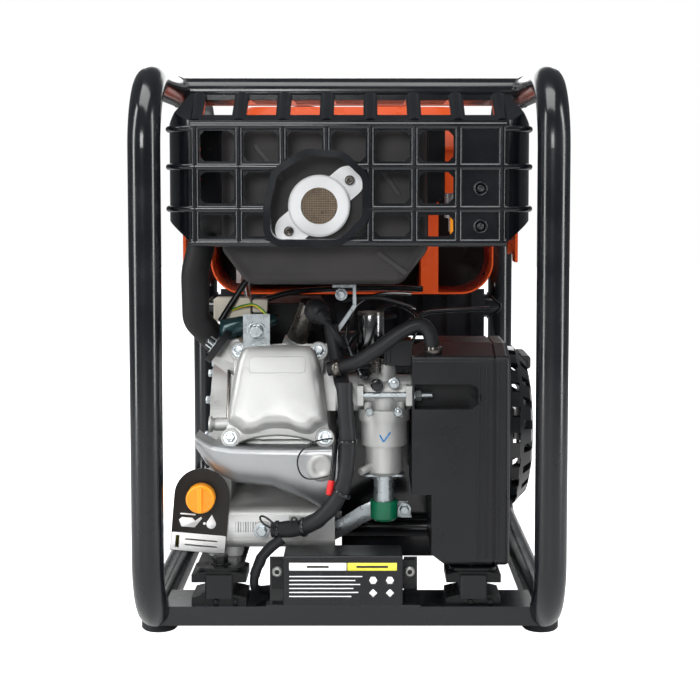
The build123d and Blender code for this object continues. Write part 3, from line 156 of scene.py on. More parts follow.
EXTRA = {
    "white_print": surface("white_print", (0.86, 0.86, 0.86), 0.45, tint=0.02, grain=1500, bump=0.03),
    "yellow_print": surface("yellow_print", (0.80, 0.72, 0.08), 0.45, tint=0.03, bump=0.03),
    "grey_print": surface("grey_print", (0.36, 0.37, 0.38), 0.5, tint=0.06, bump=0.03),
    "red_plastic": surface("red_plastic", (0.72, 0.02, 0.02), 0.35, coat=0.2),
    "cream_plastic": surface("cream_plastic", (0.74, 0.69, 0.58), 0.45, tint=0.05),
    "yellow_wire": surface("yellow_wire", (0.80, 0.66, 0.04), 0.4),
    "green_wire": surface("green_wire", (0.03, 0.25, 0.06), 0.4),
    "blue_paint": surface("blue_paint", (0.03, 0.22, 0.55), 0.5),
    "teal_shield": surface("teal_shield", (0.012, 0.035, 0.04), 0.22, metal=0.4, tint=0.3, cloud=60),
    "chrome_can": surface("chrome_can", (0.20, 0.20, 0.205), 0.16, metal=1.0, tint=0.05, cloud=40),
    # near-black finish for painted shade: it stands in for the dark inside of the exhaust outlet
    "painted_shade_black": surface("painted_shade_black", (0.01, 0.01, 0.01), 0.8),
    "muffler_crease": surface("muffler_crease", (0.034, 0.032, 0.032), 0.42, tint=0.1, grain=1200, bump=0.2),
}

for row in frame["record"]["subparts"]:
    target = frame["nodes"][row["node"]]
    for slot in target.material_slots:
        slot.material = MATERIALS[row["material_slot"]]


# ------------------------------------------------------------------ piece builders
def finish_piece(name, mesh, material, body="machine", smooth=True):
    """Object from a mesh with its material, riding on a body."""
    mesh.materials.append(material)
    for polygon in mesh.polygons:
        polygon.use_smooth = smooth
    piece = bpy.data.objects.new(name, mesh)
    bpy.context.collection.objects.link(piece)
    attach(piece, body)
    return piece


def from_bmesh(name, shape, material, body="machine", smooth=True, bevel=0.0, angle=35):
    """Object from a bmesh in millimetres, with optional rounded edges."""
    bmesh.ops.scale(shape, vec=(MM, MM, MM), verts=shape.verts)
    bmesh.ops.recalc_face_normals(shape, faces=shape.faces)
    mesh = bpy.data.meshes.new(name)
    shape.to_mesh(mesh)
    shape.free()
    piece = finish_piece(name, mesh, material, body, smooth)
    if bevel:
        rounding = piece.modifiers.new("rounding", "BEVEL")
        rounding.width = bevel * MM
        rounding.segments = 3
        rounding.limit_method = "ANGLE"
        rounding.angle_limit = radians(angle)
        rounding.harden_normals = True
    return piece


def axes_along(direction):
    """Rotation that turns local Z to a direction."""
    return Vector(direction).to_track_quat("Z", "Y").to_matrix().to_4x4()


def join_rings(shape, rings):
    """Skins closed rings of equal length, one after the other."""
    for lower, upper in zip(rings, rings[1:]):
        count = len(lower)
        for k in range(count):
            following = (k + 1) % count
            shape.faces.new((lower[k], lower[following], upper[following], upper[k]))


def join_rows(shape, rows):
    """Skins open rows of equal length, one after the other."""
    for one, two in zip(rows, rows[1:]):
        for i in range(len(one) - 1):
            shape.faces.new((one[i], two[i], two[i + 1], one[i + 1]))


def lathe(shape, centre, direction, profile, steps=28):
    """Adds a turned form: profile is (radius, height) pairs along a direction."""
    turn = Matrix.Translation(Vector(centre)) @ axes_along(direction)
    rings = []
    for radius, height in profile:
        ring = []
        for k in range(steps):
            angle = tau * k / steps
            ring.append(shape.verts.new(turn @ Vector((radius * cos(angle), radius * sin(angle), height))))
        rings.append(ring)
    join_rings(shape, rings)
    shape.faces.new(rings[0][::-1])
    shape.faces.new(rings[-1])


def prism(shape, origin, right, up, outline, thickness):
    """Adds a flat plate: outline in (right, up), thickness towards right x up."""
    right, up = Vector(right).normalized(), Vector(up).normalized()
    out = right.cross(up)
    origin = Vector(origin)
    back = [shape.verts.new(origin + right * u + up * v) for u, v in outline]
    front = [shape.verts.new(origin + right * u + up * v + out * thickness) for u, v in outline]
    shape.faces.new(back[::-1])
    shape.faces.new(front)
    join_rings(shape, (back, front))


def thicken(piece, thickness, offset):
    """Gives a skin its sheet thickness: offset 0 puts it on both sides, -1 on the inner side."""
    skin = piece.modifiers.new("skin", "SOLIDIFY")
    skin.thickness = thickness * MM
    skin.offset = offset


def rounded(width, height, corner, steps=5):
    """Rounded rectangle about the origin."""
    points = []
    for cx, cy, start in ((1, 1, 0), (-1, 1, 90), (-1, -1, 180), (1, -1, 270)):
        for k in range(steps + 1):
            angle = radians(start + 90 * k / steps)
            points.append((cx * (width / 2 - corner) + corner * cos(angle),
                           cy * (height / 2 - corner) + corner * sin(angle)))
    return points


def shifted(outline, dx, dy):
    """Outline moved in its own plane."""
    return [(x + dx, y + dy) for x, y in outline]


def disc(radius, steps=32):
    """Circle, or a regular polygon with few steps, about the origin."""
    return [(radius * cos(tau * k / steps), radius * sin(tau * k / steps)) for k in range(steps)]


HEX = 6


def bolt(shape, seat, direction, flats=8.0):
    """Adds a flange bolt head with a dished top."""
    direction = Vector(direction).normalized()
    washer, washer_height, height = flats * 0.82, 1.3, flats * 0.6
    lathe(shape, seat, direction, ((washer, 0), (washer, 0.8), (washer * 0.94, washer_height)), 32)
    top = Vector(seat) + direction * washer_height
    radius = flats / 2 / cos(pi / 6)
    lathe(shape, top, direction, ((radius, 0), (radius, height - 0.8), (radius * 0.86, height)), HEX)
    crown = top + direction * height
    lathe(shape, crown, direction, ((radius * 0.72, -0.2), (radius * 0.72, 0.15), (radius * 0.3, -0.1)), 24)


def screw(shape, seat, direction, radius=4.0):
    """Adds a pan-head screw with a cross recess ring."""
    lathe(shape, seat, direction, ((radius, 0), (radius, radius * 0.25), (radius * 0.8, radius * 0.5),
                                   (radius * 0.45, radius * 0.6), (radius * 0.4, radius * 0.35)), 24)


def wire(name, points, radius, material, body="machine", cyclic=False, order=3):
    """Round cable or bent wire on one smooth curve."""
    curve = bpy.data.curves.new(name, "CURVE")
    curve.dimensions = "3D"
    curve.bevel_depth = radius * MM
    curve.bevel_resolution = 4
    curve.resolution_u = 8
    curve.use_fill_caps = not cyclic
    spline = curve.splines.new("NURBS")
    spline.points.add(len(points) - 1)
    for target, point in zip(spline.points, points):
        target.co = (*(Vector(point) * MM), 1)
    spline.order_u = order
    spline.use_endpoint_u = not cyclic
    spline.use_cyclic_u = cyclic
    curve.materials.append(material)
    piece = bpy.data.objects.new(name, curve)
    bpy.context.collection.objects.link(piece)
    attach(piece, body)
    return piece


def rounded_edges(node, width, angle=30):
    """Small highlight-catching rounding on a CAD node."""
    edge = frame["nodes"][node].modifiers.new("edge", "BEVEL")
    edge.width = width * MM
    edge.segments = 2
    edge.limit_method = "ANGLE"
    edge.angle_limit = radians(angle)
    edge.harden_normals = True


# ------------------------------------------------------------------ camera, floor and light
VIEW_HEIGHT, VIEW_DISTANCE, VIEW_RIGHT = 0.471, 1.670, 0.0126
TILT = 3.7
lens = bpy.data.cameras.new("camera")
lens.lens = 73.6
lens.sensor_width = 36
lens.shift_x = -0.017
lens.shift_y = -0.1116
camera = bpy.data.objects.new("camera", lens)
bpy.context.collection.objects.link(camera)
camera.location = (VIEW_RIGHT, -VIEW_DISTANCE, VIEW_HEIGHT)
camera.rotation_euler = (radians(90 - TILT), 0, 0)
bpy.context.scene.camera = camera


def area_light(name, place, target, width, height, power):
    """Soft box with its size in metres, aimed at a target."""
    data = bpy.data.lights.new(name, "AREA")
    data.shape = "RECTANGLE"
    data.size, data.size_y = width, height
    data.energy = power
    light = bpy.data.objects.new(name, data)
    bpy.context.collection.objects.link(light)
    light.location = place
    light.rotation_euler = (Vector(target) - Vector(place)).to_track_quat("-Z", "Y").to_euler()


CENTRE = (0, 0, 0.3)
area_light("key_top", (-0.2, -0.6, 1.9), CENTRE, 1.3, 0.9, 24)
area_light("strip_left", (-1.35, -0.75, 0.75), CENTRE, 0.30, 1.7, 19)
area_light("strip_right", (1.35, -0.75, 0.75), CENTRE, 0.30, 1.7, 19)
area_light("front_fill", (-0.5, -2.6, 1.1), CENTRE, 0.8, 0.6, 26)
area_light("rear", (0.0, 1.9, 1.2), CENTRE, 1.6, 0.9, 12)

# the camera sees white surroundings and a white floor, which light the machine much less
SEEN_STRENGTH, AROUND_STRENGTH, FLOOR_GLOW, FLOOR_REACH = 1.0, 0.15, 1.2, 6
world = bpy.data.worlds.new("studio")
bpy.context.scene.world = world
world.use_nodes = True
world_nodes, world_links = world.node_tree.nodes, world.node_tree.links
seen = world_nodes["Background"]
seen.inputs["Color"].default_value = (1, 1, 1, 1)
seen.inputs["Strength"].default_value = SEEN_STRENGTH
around = world_nodes.new("ShaderNodeBackground")
around.inputs["Color"].default_value = (0.95, 0.97, 1, 1)
around.inputs["Strength"].default_value = AROUND_STRENGTH
path = world_nodes.new("ShaderNodeLightPath")
either = world_nodes.new("ShaderNodeMixShader")
world_links.new(path.outputs["Is Camera Ray"], either.inputs["Fac"])
world_links.new(around.outputs["Background"], either.inputs[1])
world_links.new(seen.outputs["Background"], either.inputs[2])
world_links.new(either.outputs["Shader"], world_nodes["World Output"].inputs["Surface"])

floor_mesh = bpy.data.meshes.new("floor")
floor_corners = [(FLOOR_REACH * x, FLOOR_REACH * y, 0) for x, y in ((-1, -1), (1, -1), (1, 1), (-1, 1))]
floor_mesh.from_pydata(floor_corners, [], [(0, 1, 2, 3)])
floor_finish = surface("floor_white", (0.86, 0.86, 0.86), 0.6, tint=0.01, bump=0.0)
floor_shader = floor_finish.node_tree.nodes["Principled BSDF"]
floor_nodes, floor_links = floor_finish.node_tree.nodes, floor_finish.node_tree.links
floor_path = floor_nodes.new("ShaderNodeLightPath")
floor_glow = floor_nodes.new("ShaderNodeMath")
floor_glow.operation = "MULTIPLY"
floor_links.new(floor_path.outputs["Is Camera Ray"], floor_glow.inputs[0])
floor_glow.inputs[1].default_value = FLOOR_GLOW
floor_links.new(floor_glow.outputs["Value"], floor_shader.inputs["Emission Strength"])
floor_shader.inputs["Emission Color"].default_value = (1, 1, 1, 1)
floor_mesh.materials.append(floor_finish)
floor = bpy.data.objects.new("floor", floor_mesh)
bpy.context.collection.objects.link(floor)
bpy.context.scene.view_settings.view_transform = "Standard"

# ------------------------------------------------------------------ frame tube
LOOP_X, TUBE_R, LOOP_TOP, TOP_TUBE_Y = 200, 16, 571, -20
REAR_TUBE_Y, REAR_TUBE_Z = 270, 300
BEAD_R, BEAD_STEPS = 1.7, 56


def weld_bead(name, side, y, z, across):
    """Rippled bead round the coped end of a cross tube."""
    points = []
    for k in range(BEAD_STEPS):
        angle = tau * k / BEAD_STEPS
        ripple = 0.35 * sin(9 * angle) + 0.25 * noise.noise(Vector((k * 0.7, side, z)))
        radius = TUBE_R + 0.7 + ripple
        flat, rise = radius * cos(angle), radius * sin(angle)
        off_axis = rise if across == "y" else flat
        saddle = max(0.0, TUBE_R ** 2 - off_axis ** 2) ** 0.5
        points.append((side * (LOOP_X - saddle), y + flat, z + rise))
    wire(name, points, BEAD_R, MATERIALS["frame_black"], cyclic=True)


for side, word in ((-1, "left"), (1, "right")):
    weld_bead(f"weld_top_{word}", side, TOP_TUBE_Y, LOOP_TOP, "y")
    weld_bead(f"weld_rear_{word}", side, REAR_TUBE_Y, REAR_TUBE_Z, "x")

# ------------------------------------------------------------------ edges of the CAD castings
for node, width in (("valve_cover", 1.2), ("muffler_guard", 0.9), ("air_filter_case", 1.0),
                    ("battery", 0.8), ("muffler_outlet", 0.8), ("carburettor", 0.6), ("cylinder_head", 0.8),
                    ("base_rails", 1.0), ("panel_shell", 0.6), ("crankcase_block", 1.0),
                    ("side_shroud", 0.8), ("oil_plug", 0.5)):
    rounded_edges(node, width)

# ------------------------------------------------------------------ muffler guard
GUARD_FACE, GUARD_SIDE, GUARD_REAR = -265.0, 180, -114
GUARD_SCREW_X = 129
GUARD_RIB_HEIGHTS, GUARD_RIB_R = (441.8, 483.3, 520.5), 3.2
shape = bmesh.new()
for z in (462, 425):
    lathe(shape, (GUARD_SCREW_X, GUARD_FACE + 0.2, z), FRONT,
          ((7, 0), (7, 1.6), (5.6, 1.8), (5.4, 0.6)), 32)
    screw(shape, (GUARD_SCREW_X, GUARD_FACE - 0.2, z), FRONT, 3.6)
from_bmesh("guard_screws", shape, MATERIALS["guard_black"])

# row ribs carried round the guard's sides
for side, tag in ((-1, "left"), (1, "right")):
    for number, z in enumerate(GUARD_RIB_HEIGHTS):
        plan = ((GUARD_SIDE - 30, GUARD_FACE), (GUARD_SIDE - 19, GUARD_FACE),
                (GUARD_SIDE - 3, GUARD_FACE + 8), (GUARD_SIDE, GUARD_FACE + 27),
                (GUARD_SIDE, GUARD_FACE + 49), (GUARD_SIDE, GUARD_REAR))
        wire(f"guard_{tag}_rib_{number}", [(side * x, y, z) for x, y in plan], GUARD_RIB_R,
             MATERIALS["guard_black"])

# ------------------------------------------------------------------ exhaust outlet screen
arrestor_low, arrestor_high = corners("spark_arrestor")
SCREEN = (arrestor_low + arrestor_high) / 2
SCREEN_R, SCREEN_PITCH, SCREEN_DOME, WIRE_R = 18.0, 1.75, 1.5, 0.42


def screen_depth(x, z):
    """Gentle dome of the screen."""
    return arrestor_low.y - SCREEN_DOME * (1 - (x * x + z * z) / SCREEN_R ** 2)


shape = bmesh.new()
count = int(SCREEN_R / SCREEN_PITCH)
for direction in (0, 1):
    for k in range(-count, count + 1):
        offset = k * SCREEN_PITCH
        reach = (SCREEN_R ** 2 - offset ** 2) ** 0.5
        steps = max(4, int(2 * reach / (SCREEN_PITCH / 2)))
        rings = []
        for step in range(steps + 1):
            along = -reach + 2 * reach * step / steps
            x, z = (offset, along) if direction else (along, offset)
            weave = 0.35 * cos(pi * (along / SCREEN_PITCH + k + direction))
            centre = Vector((SCREEN.x + x, screen_depth(x, z) + weave, SCREEN.z + z))
            ring = []
            for angle in (0, 90, 180, 270):
                a = radians(angle)
                spread = Vector((cos(a), sin(a), 0)) if direction else Vector((0, cos(a), sin(a)))
                ring.append(shape.verts.new(centre + spread * WIRE_R))
            rings.append(ring)
        join_rings(shape, rings)
screen = from_bmesh("screen_weave", shape, MATERIALS["brass_mesh"])
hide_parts("spark_arrestor")
# near-black disc behind the screen: painted shade standing in for the dark inside of the outlet
shape = bmesh.new()
lathe(shape, (SCREEN.x, arrestor_low.y + 5, SCREEN.z), FRONT, ((18.1, 0), (18.1, 1.0), (17, 1.2)), 40)
from_bmesh("outlet_painted_shade", shape, EXTRA["painted_shade_black"])

# screws of the outlet's ears
EAR_Y = corners("muffler_outlet")[0].y + 6
EAR_RIGHT, EAR_UP = 30.5, 25.5
shape = bmesh.new()
for side in (-1, 1):
    screw(shape, (SCREEN.x + side * EAR_RIGHT, EAR_Y, SCREEN.z + side * EAR_UP), FRONT, 5)
from_bmesh("outlet_screws", shape, MATERIALS["steel_dark"])

# ------------------------------------------------------------------ muffler
MUFFLER_FRONT = corners("muffler")[0].y
shape = bmesh.new()
for x0, z0, x1, z1 in ((28, 398, 58, 376), (-95, 505, -66, 470), (20, 500, 50, 455)):
    span = Vector((x1 - x0, 0, z1 - z0))
    along, length = span.normalized(), span.length
    prism(shape, (x0, MUFFLER_FRONT + 0.4, z0), along, Vector(FRONT).cross(along),
          shifted(rounded(length, 5, 2.4), length / 2, 0), 1.6)
from_bmesh("muffler_creases", shape, EXTRA["muffler_crease"], bevel=1.2)

# ------------------------------------------------------------------ valve cover and crankcase bolts
CYLINDER_TILT = radians(19)
CYLINDER_AXIS = Vector((0, -cos(CYLINDER_TILT), sin(CYLINDER_TILT)))
CYLINDER_UP = Vector((0, sin(CYLINDER_TILT), cos(CYLINDER_TILT)))
CRANK = Vector((-75, 10, 182))
ROCKER_FACE, COVER_BOLT_SEAT = 198, 205
COVER_BOLTS = ((-42, 44), (42, 44), (-49, -48), (49, -48))
CASE_SIDE_X, CASE_BOLT_R = -159, 72
CARB_Y, CARB_Z, CARB_STUD = -180, 249, 26


def on_cylinder(u, v, height):
    """Point in the cylinder's own axes, height above the rocker face."""
    return CRANK + Vector((u, 0, 0)) + CYLINDER_UP * v + CYLINDER_AXIS * (ROCKER_FACE + height)


shape = bmesh.new()
for u, v in COVER_BOLTS:
    bolt(shape, on_cylinder(u, v, COVER_BOLT_SEAT - ROCKER_FACE), CYLINDER_AXIS, 9)
for k in range(6):
    angle = radians(20 + 32 * k)
    bolt(shape, (CASE_SIDE_X, CRANK.y + CASE_BOLT_R * cos(angle), CRANK.z + CASE_BOLT_R * sin(angle)),
         (-1, 0, 0), 8)
bolt(shape, (-92, -193, 104), FRONT, 10)
for y in (CARB_Y - CARB_STUD, CARB_Y + CARB_STUD):
    lathe(shape, (8.2, y, CARB_Z), RIGHT, ((3, 0), (3, 77), (2.4, 77.7)), 20)
    lathe(shape, (68.1, y, CARB_Z), RIGHT, ((6, 0), (6, 5.2), (5.2, 6)), HEX)
    lathe(shape, (66.2, y, CARB_Z), RIGHT, ((7.5, 0), (7.5, 1.2), (7, 1.6)), 28)
engine_bolts = from_bmesh("engine_bolt_heads", shape, MATERIALS["zinc_steel"], bevel=0.25)
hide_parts("engine_bolts")

# ------------------------------------------------------------------ cylinder head, left side
shape = bmesh.new()
prism(shape, on_cylinder(-55, -4, -26), CYLINDER_UP, CYLINDER_AXIS, rounded(74, 40, 12), 3)
from_bmesh("head_side_plate", shape, MATERIALS["steel_dark"], bevel=1.0)
shape = bmesh.new()
lathe(shape, (-148, -178, 214), RIGHT, ((8.5, 0), (8.5, 3), (6.5, 4), (6.5, 34)), 28)
from_bmesh("push_rod_boss", shape, MATERIALS["cast_aluminium"])


def smooth_loop(points, per_span=8):
    """Closed Catmull-Rom line through points in a plane."""
    result = []
    count = len(points)
    for k in range(count):
        p0, p1, p2, p3 = (Vector(points[(k + i) % count]) for i in (-1, 0, 1, 2))
        for j in range(per_span):
            t = j / per_span
            result.append(0.5 * (2 * p1 + (p2 - p0) * t + (2 * p0 - 5 * p1 + 4 * p2 - p3) * t * t
                                 + (3 * p1 - p0 - 3 * p2 + p3) * t ** 3))
    return result


def pillow(shape, place, outline, profile):
    """Adds a crowned cover: rings of an outline drawn in towards its middle, (inset, height) each."""
    rings = []
    for inset, height in profile:
        ring = []
        for point in outline:
            reach = max(0.02, 1 - inset / point.length)
            ring.append(shape.verts.new(place(point.x * reach, point.y * reach, height)))
        rings.append(ring)
    join_rings(shape, rings)
    middle = shape.verts.new(place(0, 0, profile[-1][1]))
    for k in range(len(rings[-1])):
        shape.faces.new((rings[-1][k], rings[-1][(k + 1) % len(rings[-1])], middle))


cover_line = smooth_loop(((-20, 47), (-34, 45), (-40, 36), (-44, 20), (-47, 0), (-50, -20), (-50, -32),
                          (-42, -37), (-34, -43), (-22, -42), (-12, -38), (0, -37), (12, -38), (22, -42),
                          (34, -43), (42, -37), (50, -32), (50, -20), (47, 0), (44, 20), (40, 36), (34, 45),
                          (20, 47), (0, 47.5)))
shape = bmesh.new()
pillow(shape, on_cylinder, cover_line,
       ((-1, 0), (-1, 9), (-0.6, 17), (0.2, 22), (1.4, 26), (3.2, 29), (6, 30.9), (10, 31.6), (18, 31.8),
        (34, 31.9)))
flange_line = smooth_loop(((-30, 50), (-44, 49), (-48, 38), (-47, 10), (-52, -30), (-55, -48), (-46, -54),
                           (-30, -49), (-14, -46), (0, -45), (14, -46), (30, -49), (46, -54), (55, -48),
                           (52, -30), (47, 10), (48, 38), (44, 49), (30, 50)))
pillow(shape, on_cylinder, flange_line, ((0, 0), (0, 5), (0.6, 6.2), (1.6, 6.8), (30, 6.9)))
for u, v in COVER_BOLTS:
    lathe(shape, on_cylinder(u, v, 0), CYLINDER_AXIS,
          ((10, 0), (10, 7.4), (9.2, 8.0), (7.4, 8.2), (6.8, 7.2)), 32)
cover = from_bmesh("rocker_cover", shape, MATERIALS["cast_aluminium"])
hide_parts("valve_cover")
panel_line = [on_cylinder(u, v + 24, 31.55) for u, v in rounded(58, 17, 4)]
wire("rocker_cover_panel", panel_line, 0.55, MATERIALS["cast_aluminium"], cyclic=True)

# cooling scoop under the cylinder
SCOOP_TOP = ((-159, 206), (-150, 200), (-142, 196), (-122, 193), (-90, 192), (-50, 192), (-12, 193))
SCOOP_LOW = ((-158, 190), (-150, 176), (-139, 166), (-119, 156), (-79, 151), (-46, 138), (-12, 118))
SCOOP_REAR, SCOOP_FRONT, SCOOP_STEPS, SCOOP_DOWN_STEPS = -176, -213.5, 8, 10
shape = bmesh.new()
columns = []
last_span = len(SCOOP_TOP) - 2
for k in range(last_span + 1):
    for j in range(SCOOP_STEPS + (k == last_span)):
        t = j / SCOOP_STEPS
        top = Vector(SCOOP_TOP[k]).lerp(Vector(SCOOP_TOP[k + 1]), t)
        foot = Vector(SCOOP_LOW[k]).lerp(Vector(SCOOP_LOW[k + 1]), t)
        column = [(top.x, SCOOP_REAR, top.y + 1), (top.x, -205, top.y + 1.5), (top.x, -211, top.y + 0.8)]
        for i in range(SCOOP_DOWN_STEPS + 1):
            down = i / SCOOP_DOWN_STEPS
            column.append((top.x + (foot.x - top.x) * down,
                           SCOOP_FRONT + 1.2 * sin(pi * down) + 22 * down ** 3,
                           top.y - 1 + (foot.y + 1 - top.y) * down))
        column.append((foot.x, SCOOP_REAR, foot.y + 3))
        columns.append([shape.verts.new(point) for point in column])
join_rows(shape, columns)
scoop = from_bmesh("cooling_scoop", shape, MATERIALS["sheet_silver"])
thicken(scoop, 1.6, 0)
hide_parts("side_shroud")
shape = bmesh.new()
lathe(shape, (-30, -206, 176), FRONT, ((17, 0), (16, 6), (13, 9), (8.5, 10), (7.5, 9.2), (3, 9)), 40)
from_bmesh("scoop_boss", shape, MATERIALS["cast_aluminium"])

# exhaust flange nuts and spark plug boot
EXHAUST_SEAT, EXHAUST_OUT = Vector((-136, -146, 293)), Vector((-0.8, 0, 0.6))
EXHAUST_STUD, FLANGE_THICK = 27, 7.5
shape = bmesh.new()
for dy in (-EXHAUST_STUD, EXHAUST_STUD):
    bolt(shape, EXHAUST_SEAT + Vector((0, dy, 0)) + EXHAUST_OUT * FLANGE_THICK, EXHAUST_OUT, 12)
bolt(shape, (-98, -176.2, 312), FRONT, 12.5)
bolt(shape, (-9, -178.5, 351), FRONT, 8)
from_bmesh("flange_nuts", shape, MATERIALS["zinc_steel"], bevel=0.25)
shape = bmesh.new()
boot = Vector((0.5, -0.75, -0.42)).normalized()
lathe(shape, Vector((-35, -173, 333)) - boot * 12, boot,
      ((4, 0), (9, 2), (12.2, 7), (13, 12), (12.2, 17), (10, 21), (8.4, 22.5), (8.6, 24), (8.6, 26),
       (7, 26.8), (7, 28), (5.6, 29), (5, 34), (4, 35)), 40)
from_bmesh("plug_boot", shape, MATERIALS["rubber_black"])

# ------------------------------------------------------------------ labels, all without lettering
battery_low, battery_high = corners("battery")
LABEL_Y, LABEL_Z, PRINT = battery_low.y, 80, 0.25
label_left, label_right = battery_low.x + 18, battery_high.x - 18
white_middle, yellow_middle = label_left + 31, label_right - 27
shape = bmesh.new()
prism(shape, (white_middle, LABEL_Y, LABEL_Z), RIGHT, UP, rounded(58, 8, 0.6), PRINT)
from_bmesh("battery_label_white", shape, EXTRA["white_print"])
shape = bmesh.new()
prism(shape, (yellow_middle, LABEL_Y, LABEL_Z), RIGHT, UP, rounded(50, 8, 0.6), PRINT)
from_bmesh("battery_label_yellow", shape, EXTRA["yellow_print"])
shape = bmesh.new()
for row in range(6):
    length = 74 - (row * 7) % 12
    prism(shape, (label_left + 2, LABEL_Y, LABEL_Z - 10 - 4.1 * row), RIGHT, UP,
          shifted(rounded(length, 1.1, 0.3), length / 2, 0), 0.2)
for column in range(2):
    for row, corner_count in enumerate((6, 4)):
        prism(shape, (label_right - 26 + 17 * column, LABEL_Y, LABEL_Z - 14 - 13 * row), RIGHT, UP,
              disc(4.2, corner_count), 0.2)
from_bmesh("battery_label_lines", shape, EXTRA["white_print"])
shape = bmesh.new()
prism(shape, (white_middle, LABEL_Y - PRINT, LABEL_Z), RIGHT, UP, rounded(22, 2.2, 0.3), 0.1)
prism(shape, (yellow_middle, LABEL_Y - PRINT, LABEL_Z), RIGHT, UP, rounded(32, 2.2, 0.3), 0.1)
from_bmesh("battery_label_bars", shape, MATERIALS["printed_card"])

PLUG = Vector((-155, corners("oil_tag")[0].y, 140))
TAG_TURN = radians(-5)
TAG_RIGHT = Vector((cos(TAG_TURN), 0, sin(TAG_TURN)))
TAG_UP = Vector((-sin(TAG_TURN), 0, cos(TAG_TURN)))


def tag_print(name, outlines, material):
    """Flat shapes on the turned oil tag, measured from the plug's middle."""
    shape = bmesh.new()
    for outline in outlines:
        prism(shape, PLUG, TAG_RIGHT, TAG_UP, outline, PRINT)
    return from_bmesh(name, shape, material)


tag_print("tag_white_foot", [shifted(rounded(57, 19, 1.5), 0, -50)], EXTRA["white_print"])
tag_print("tag_yellow_mark", [shifted(rounded(4, 13, 0.4), -22, -50)], EXTRA["yellow_print"])
tag_print("tag_grey_lines", [shifted(rounded(34, 1.4, 0.4), 3, -47), shifted(rounded(34, 1.4, 0.4), 3, -53)],
          EXTRA["grey_print"])
oil_can = [(-22, -27), (-19, -24), (-8, -24), (-5, -27), (1, -22), (2, -24), (-5, -34), (-19, -34)]
tag_print("tag_oil_can", [oil_can, shifted(disc(1.4), 5, -29), shifted(rounded(16, 1.6, 0.5), -13, -20.5)],
          EXTRA["white_print"])
DROP_R, DROP_STEPS = 5, 14
drop_turns = [radians(60 + 240 * k / DROP_STEPS) for k in range(DROP_STEPS + 1)]
drop = [(12 + DROP_R * sin(a), -29 + DROP_R * cos(a)) for a in drop_turns] + [(12, -19)]
tag_print("tag_drop", [drop], EXTRA["white_print"])

SUMP_FRONT = -185
shape = bmesh.new()
prism(shape, (-101, SUMP_FRONT, 107), RIGHT, UP, rounded(74, 24, 1), PRINT)
from_bmesh("crankcase_sticker", shape, EXTRA["white_print"])
shape = bmesh.new()
for k in range(15):
    width = 0.7 + 0.5 * ((k * 5) % 3)
    prism(shape, (-120 + 2.6 * k, SUMP_FRONT - PRINT, 106), RIGHT, UP, rounded(width, 11, 0.2), 0.1)
from_bmesh("sticker_bars", shape, EXTRA["grey_print"])

# ------------------------------------------------------------------ hoses, lead and loom on smooth lines
HOSE = ((-22, -204, 276), (2, -210, 280), (28, -212, 297), (52, -212, 315), (72, -212, 325), (84, -212, 315),
        (86, -211, 289.5))
hose = wire("breather_hose_skin", HOSE, 7.5, MATERIALS["rubber_black"])
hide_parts("breather_hose")
shape = bmesh.new()
for centre, along in (((-13, -207, 277.5), (24, -6, 4)), ((86, -211, 297), UP)):
    lathe(shape, centre, along, ((8.4, -3.5), (8.9, -3), (8.9, 3), (8.4, 3.5)), 32)
from_bmesh("hose_clamps", shape, MATERIALS["steel_dark"])

LEAD = ((-32, -183, 330), (-22, -194, 322), (-12, -199, 307), (-5, -186, 295), (0, -160, 290), (2, -130, 289),
        (4, -100, 289.5))
lead = wire("ht_lead_skin", LEAD, 3.5, MATERIALS["rubber_black"])
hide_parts("ht_lead")

LOOM = ((-5, -222, 264), (-4, -226, 236), (-1, -228, 200), (-4, -230, 166), (-16, -229, 138),
        (-36, -222, 119), (-58, -213, 110), (-80, -208, 109))
BRANCH = ((-70, -214, 101), (-86, -217, 90), (-93, -220, 78), (-98, -221, 64))


def sleeve_piece(name, points, radius):
    """Cable sleeve with a slightly uneven skin."""
    curve = wire(name + "_line", points, radius, MATERIALS["rubber_black"])
    mesh = bpy.data.meshes.new_from_object(curve)
    bpy.data.objects.remove(curve)
    mesh.materials.clear()
    for vertex in mesh.vertices:
        centre = vertex.co / MM
        push = noise.noise(centre * 0.12) * 0.9 + noise.noise(centre * 0.4) * 0.35
        vertex.co += vertex.normal * push * MM
    return finish_piece(name, mesh, MATERIALS["rubber_black"])


loom = sleeve_piece("loom_sleeve", LOOM, 8.4)
sleeve_piece("loom_branch", BRANCH, 5.6)
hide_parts("wiring_loom")
shape = bmesh.new()
for centre, along, radius in (((-2, -228, 205), UP, 9.2), ((-8, -230, 152), (-8, 0, -14), 9.2),
                              ((-47, -218, 114), (-20, 6, -4), 9.3), ((-75, -209, 109), (-1, 0, 0), 9.0)):
    lathe(shape, centre, along, ((radius, -2), (radius + 0.6, -1.6), (radius + 0.6, 1.6), (radius, 2)), 28)
from_bmesh("cable_ties", shape, MATERIALS["gloss_black_plastic"])
TIE_TAILS = (
    ("tie_tail_low", ((-75, -216, 114), (-84, -219, 124), (-93, -220, 127), (-90, -221, 118),
                      (-80, -219, 113))),
    ("tie_tail_small", ((-52, -222, 118), (-54, -226, 126), (-60, -226, 126), (-60, -223, 117))))
for name, points in TIE_TAILS:
    wire(name, points, 1.1, MATERIALS["gloss_black_plastic"])
wire("thin_wire_loop", ((-17, -224, 207), (-36, -227, 207), (-55, -229, 190), (-50, -230, 168),
                        (-34, -231, 166), (-19, -232, 171)), 0.9, MATERIALS["gloss_black_plastic"])
shape = bmesh.new()
lathe(shape, (-19.6, -230, 158), (3, 0, 16), ((2.2, -8), (3.4, -7), (3.6, 5), (2.6, 8)), 20)
from_bmesh("red_connector", shape, EXTRA["red_plastic"])
wire("side_lead", ((-18.4, -230, 164), (-17, -230, 174), (-15.6, -229, 188), (-14.6, -226, 204)), 2.8,
     MATERIALS["gloss_black_plastic"])

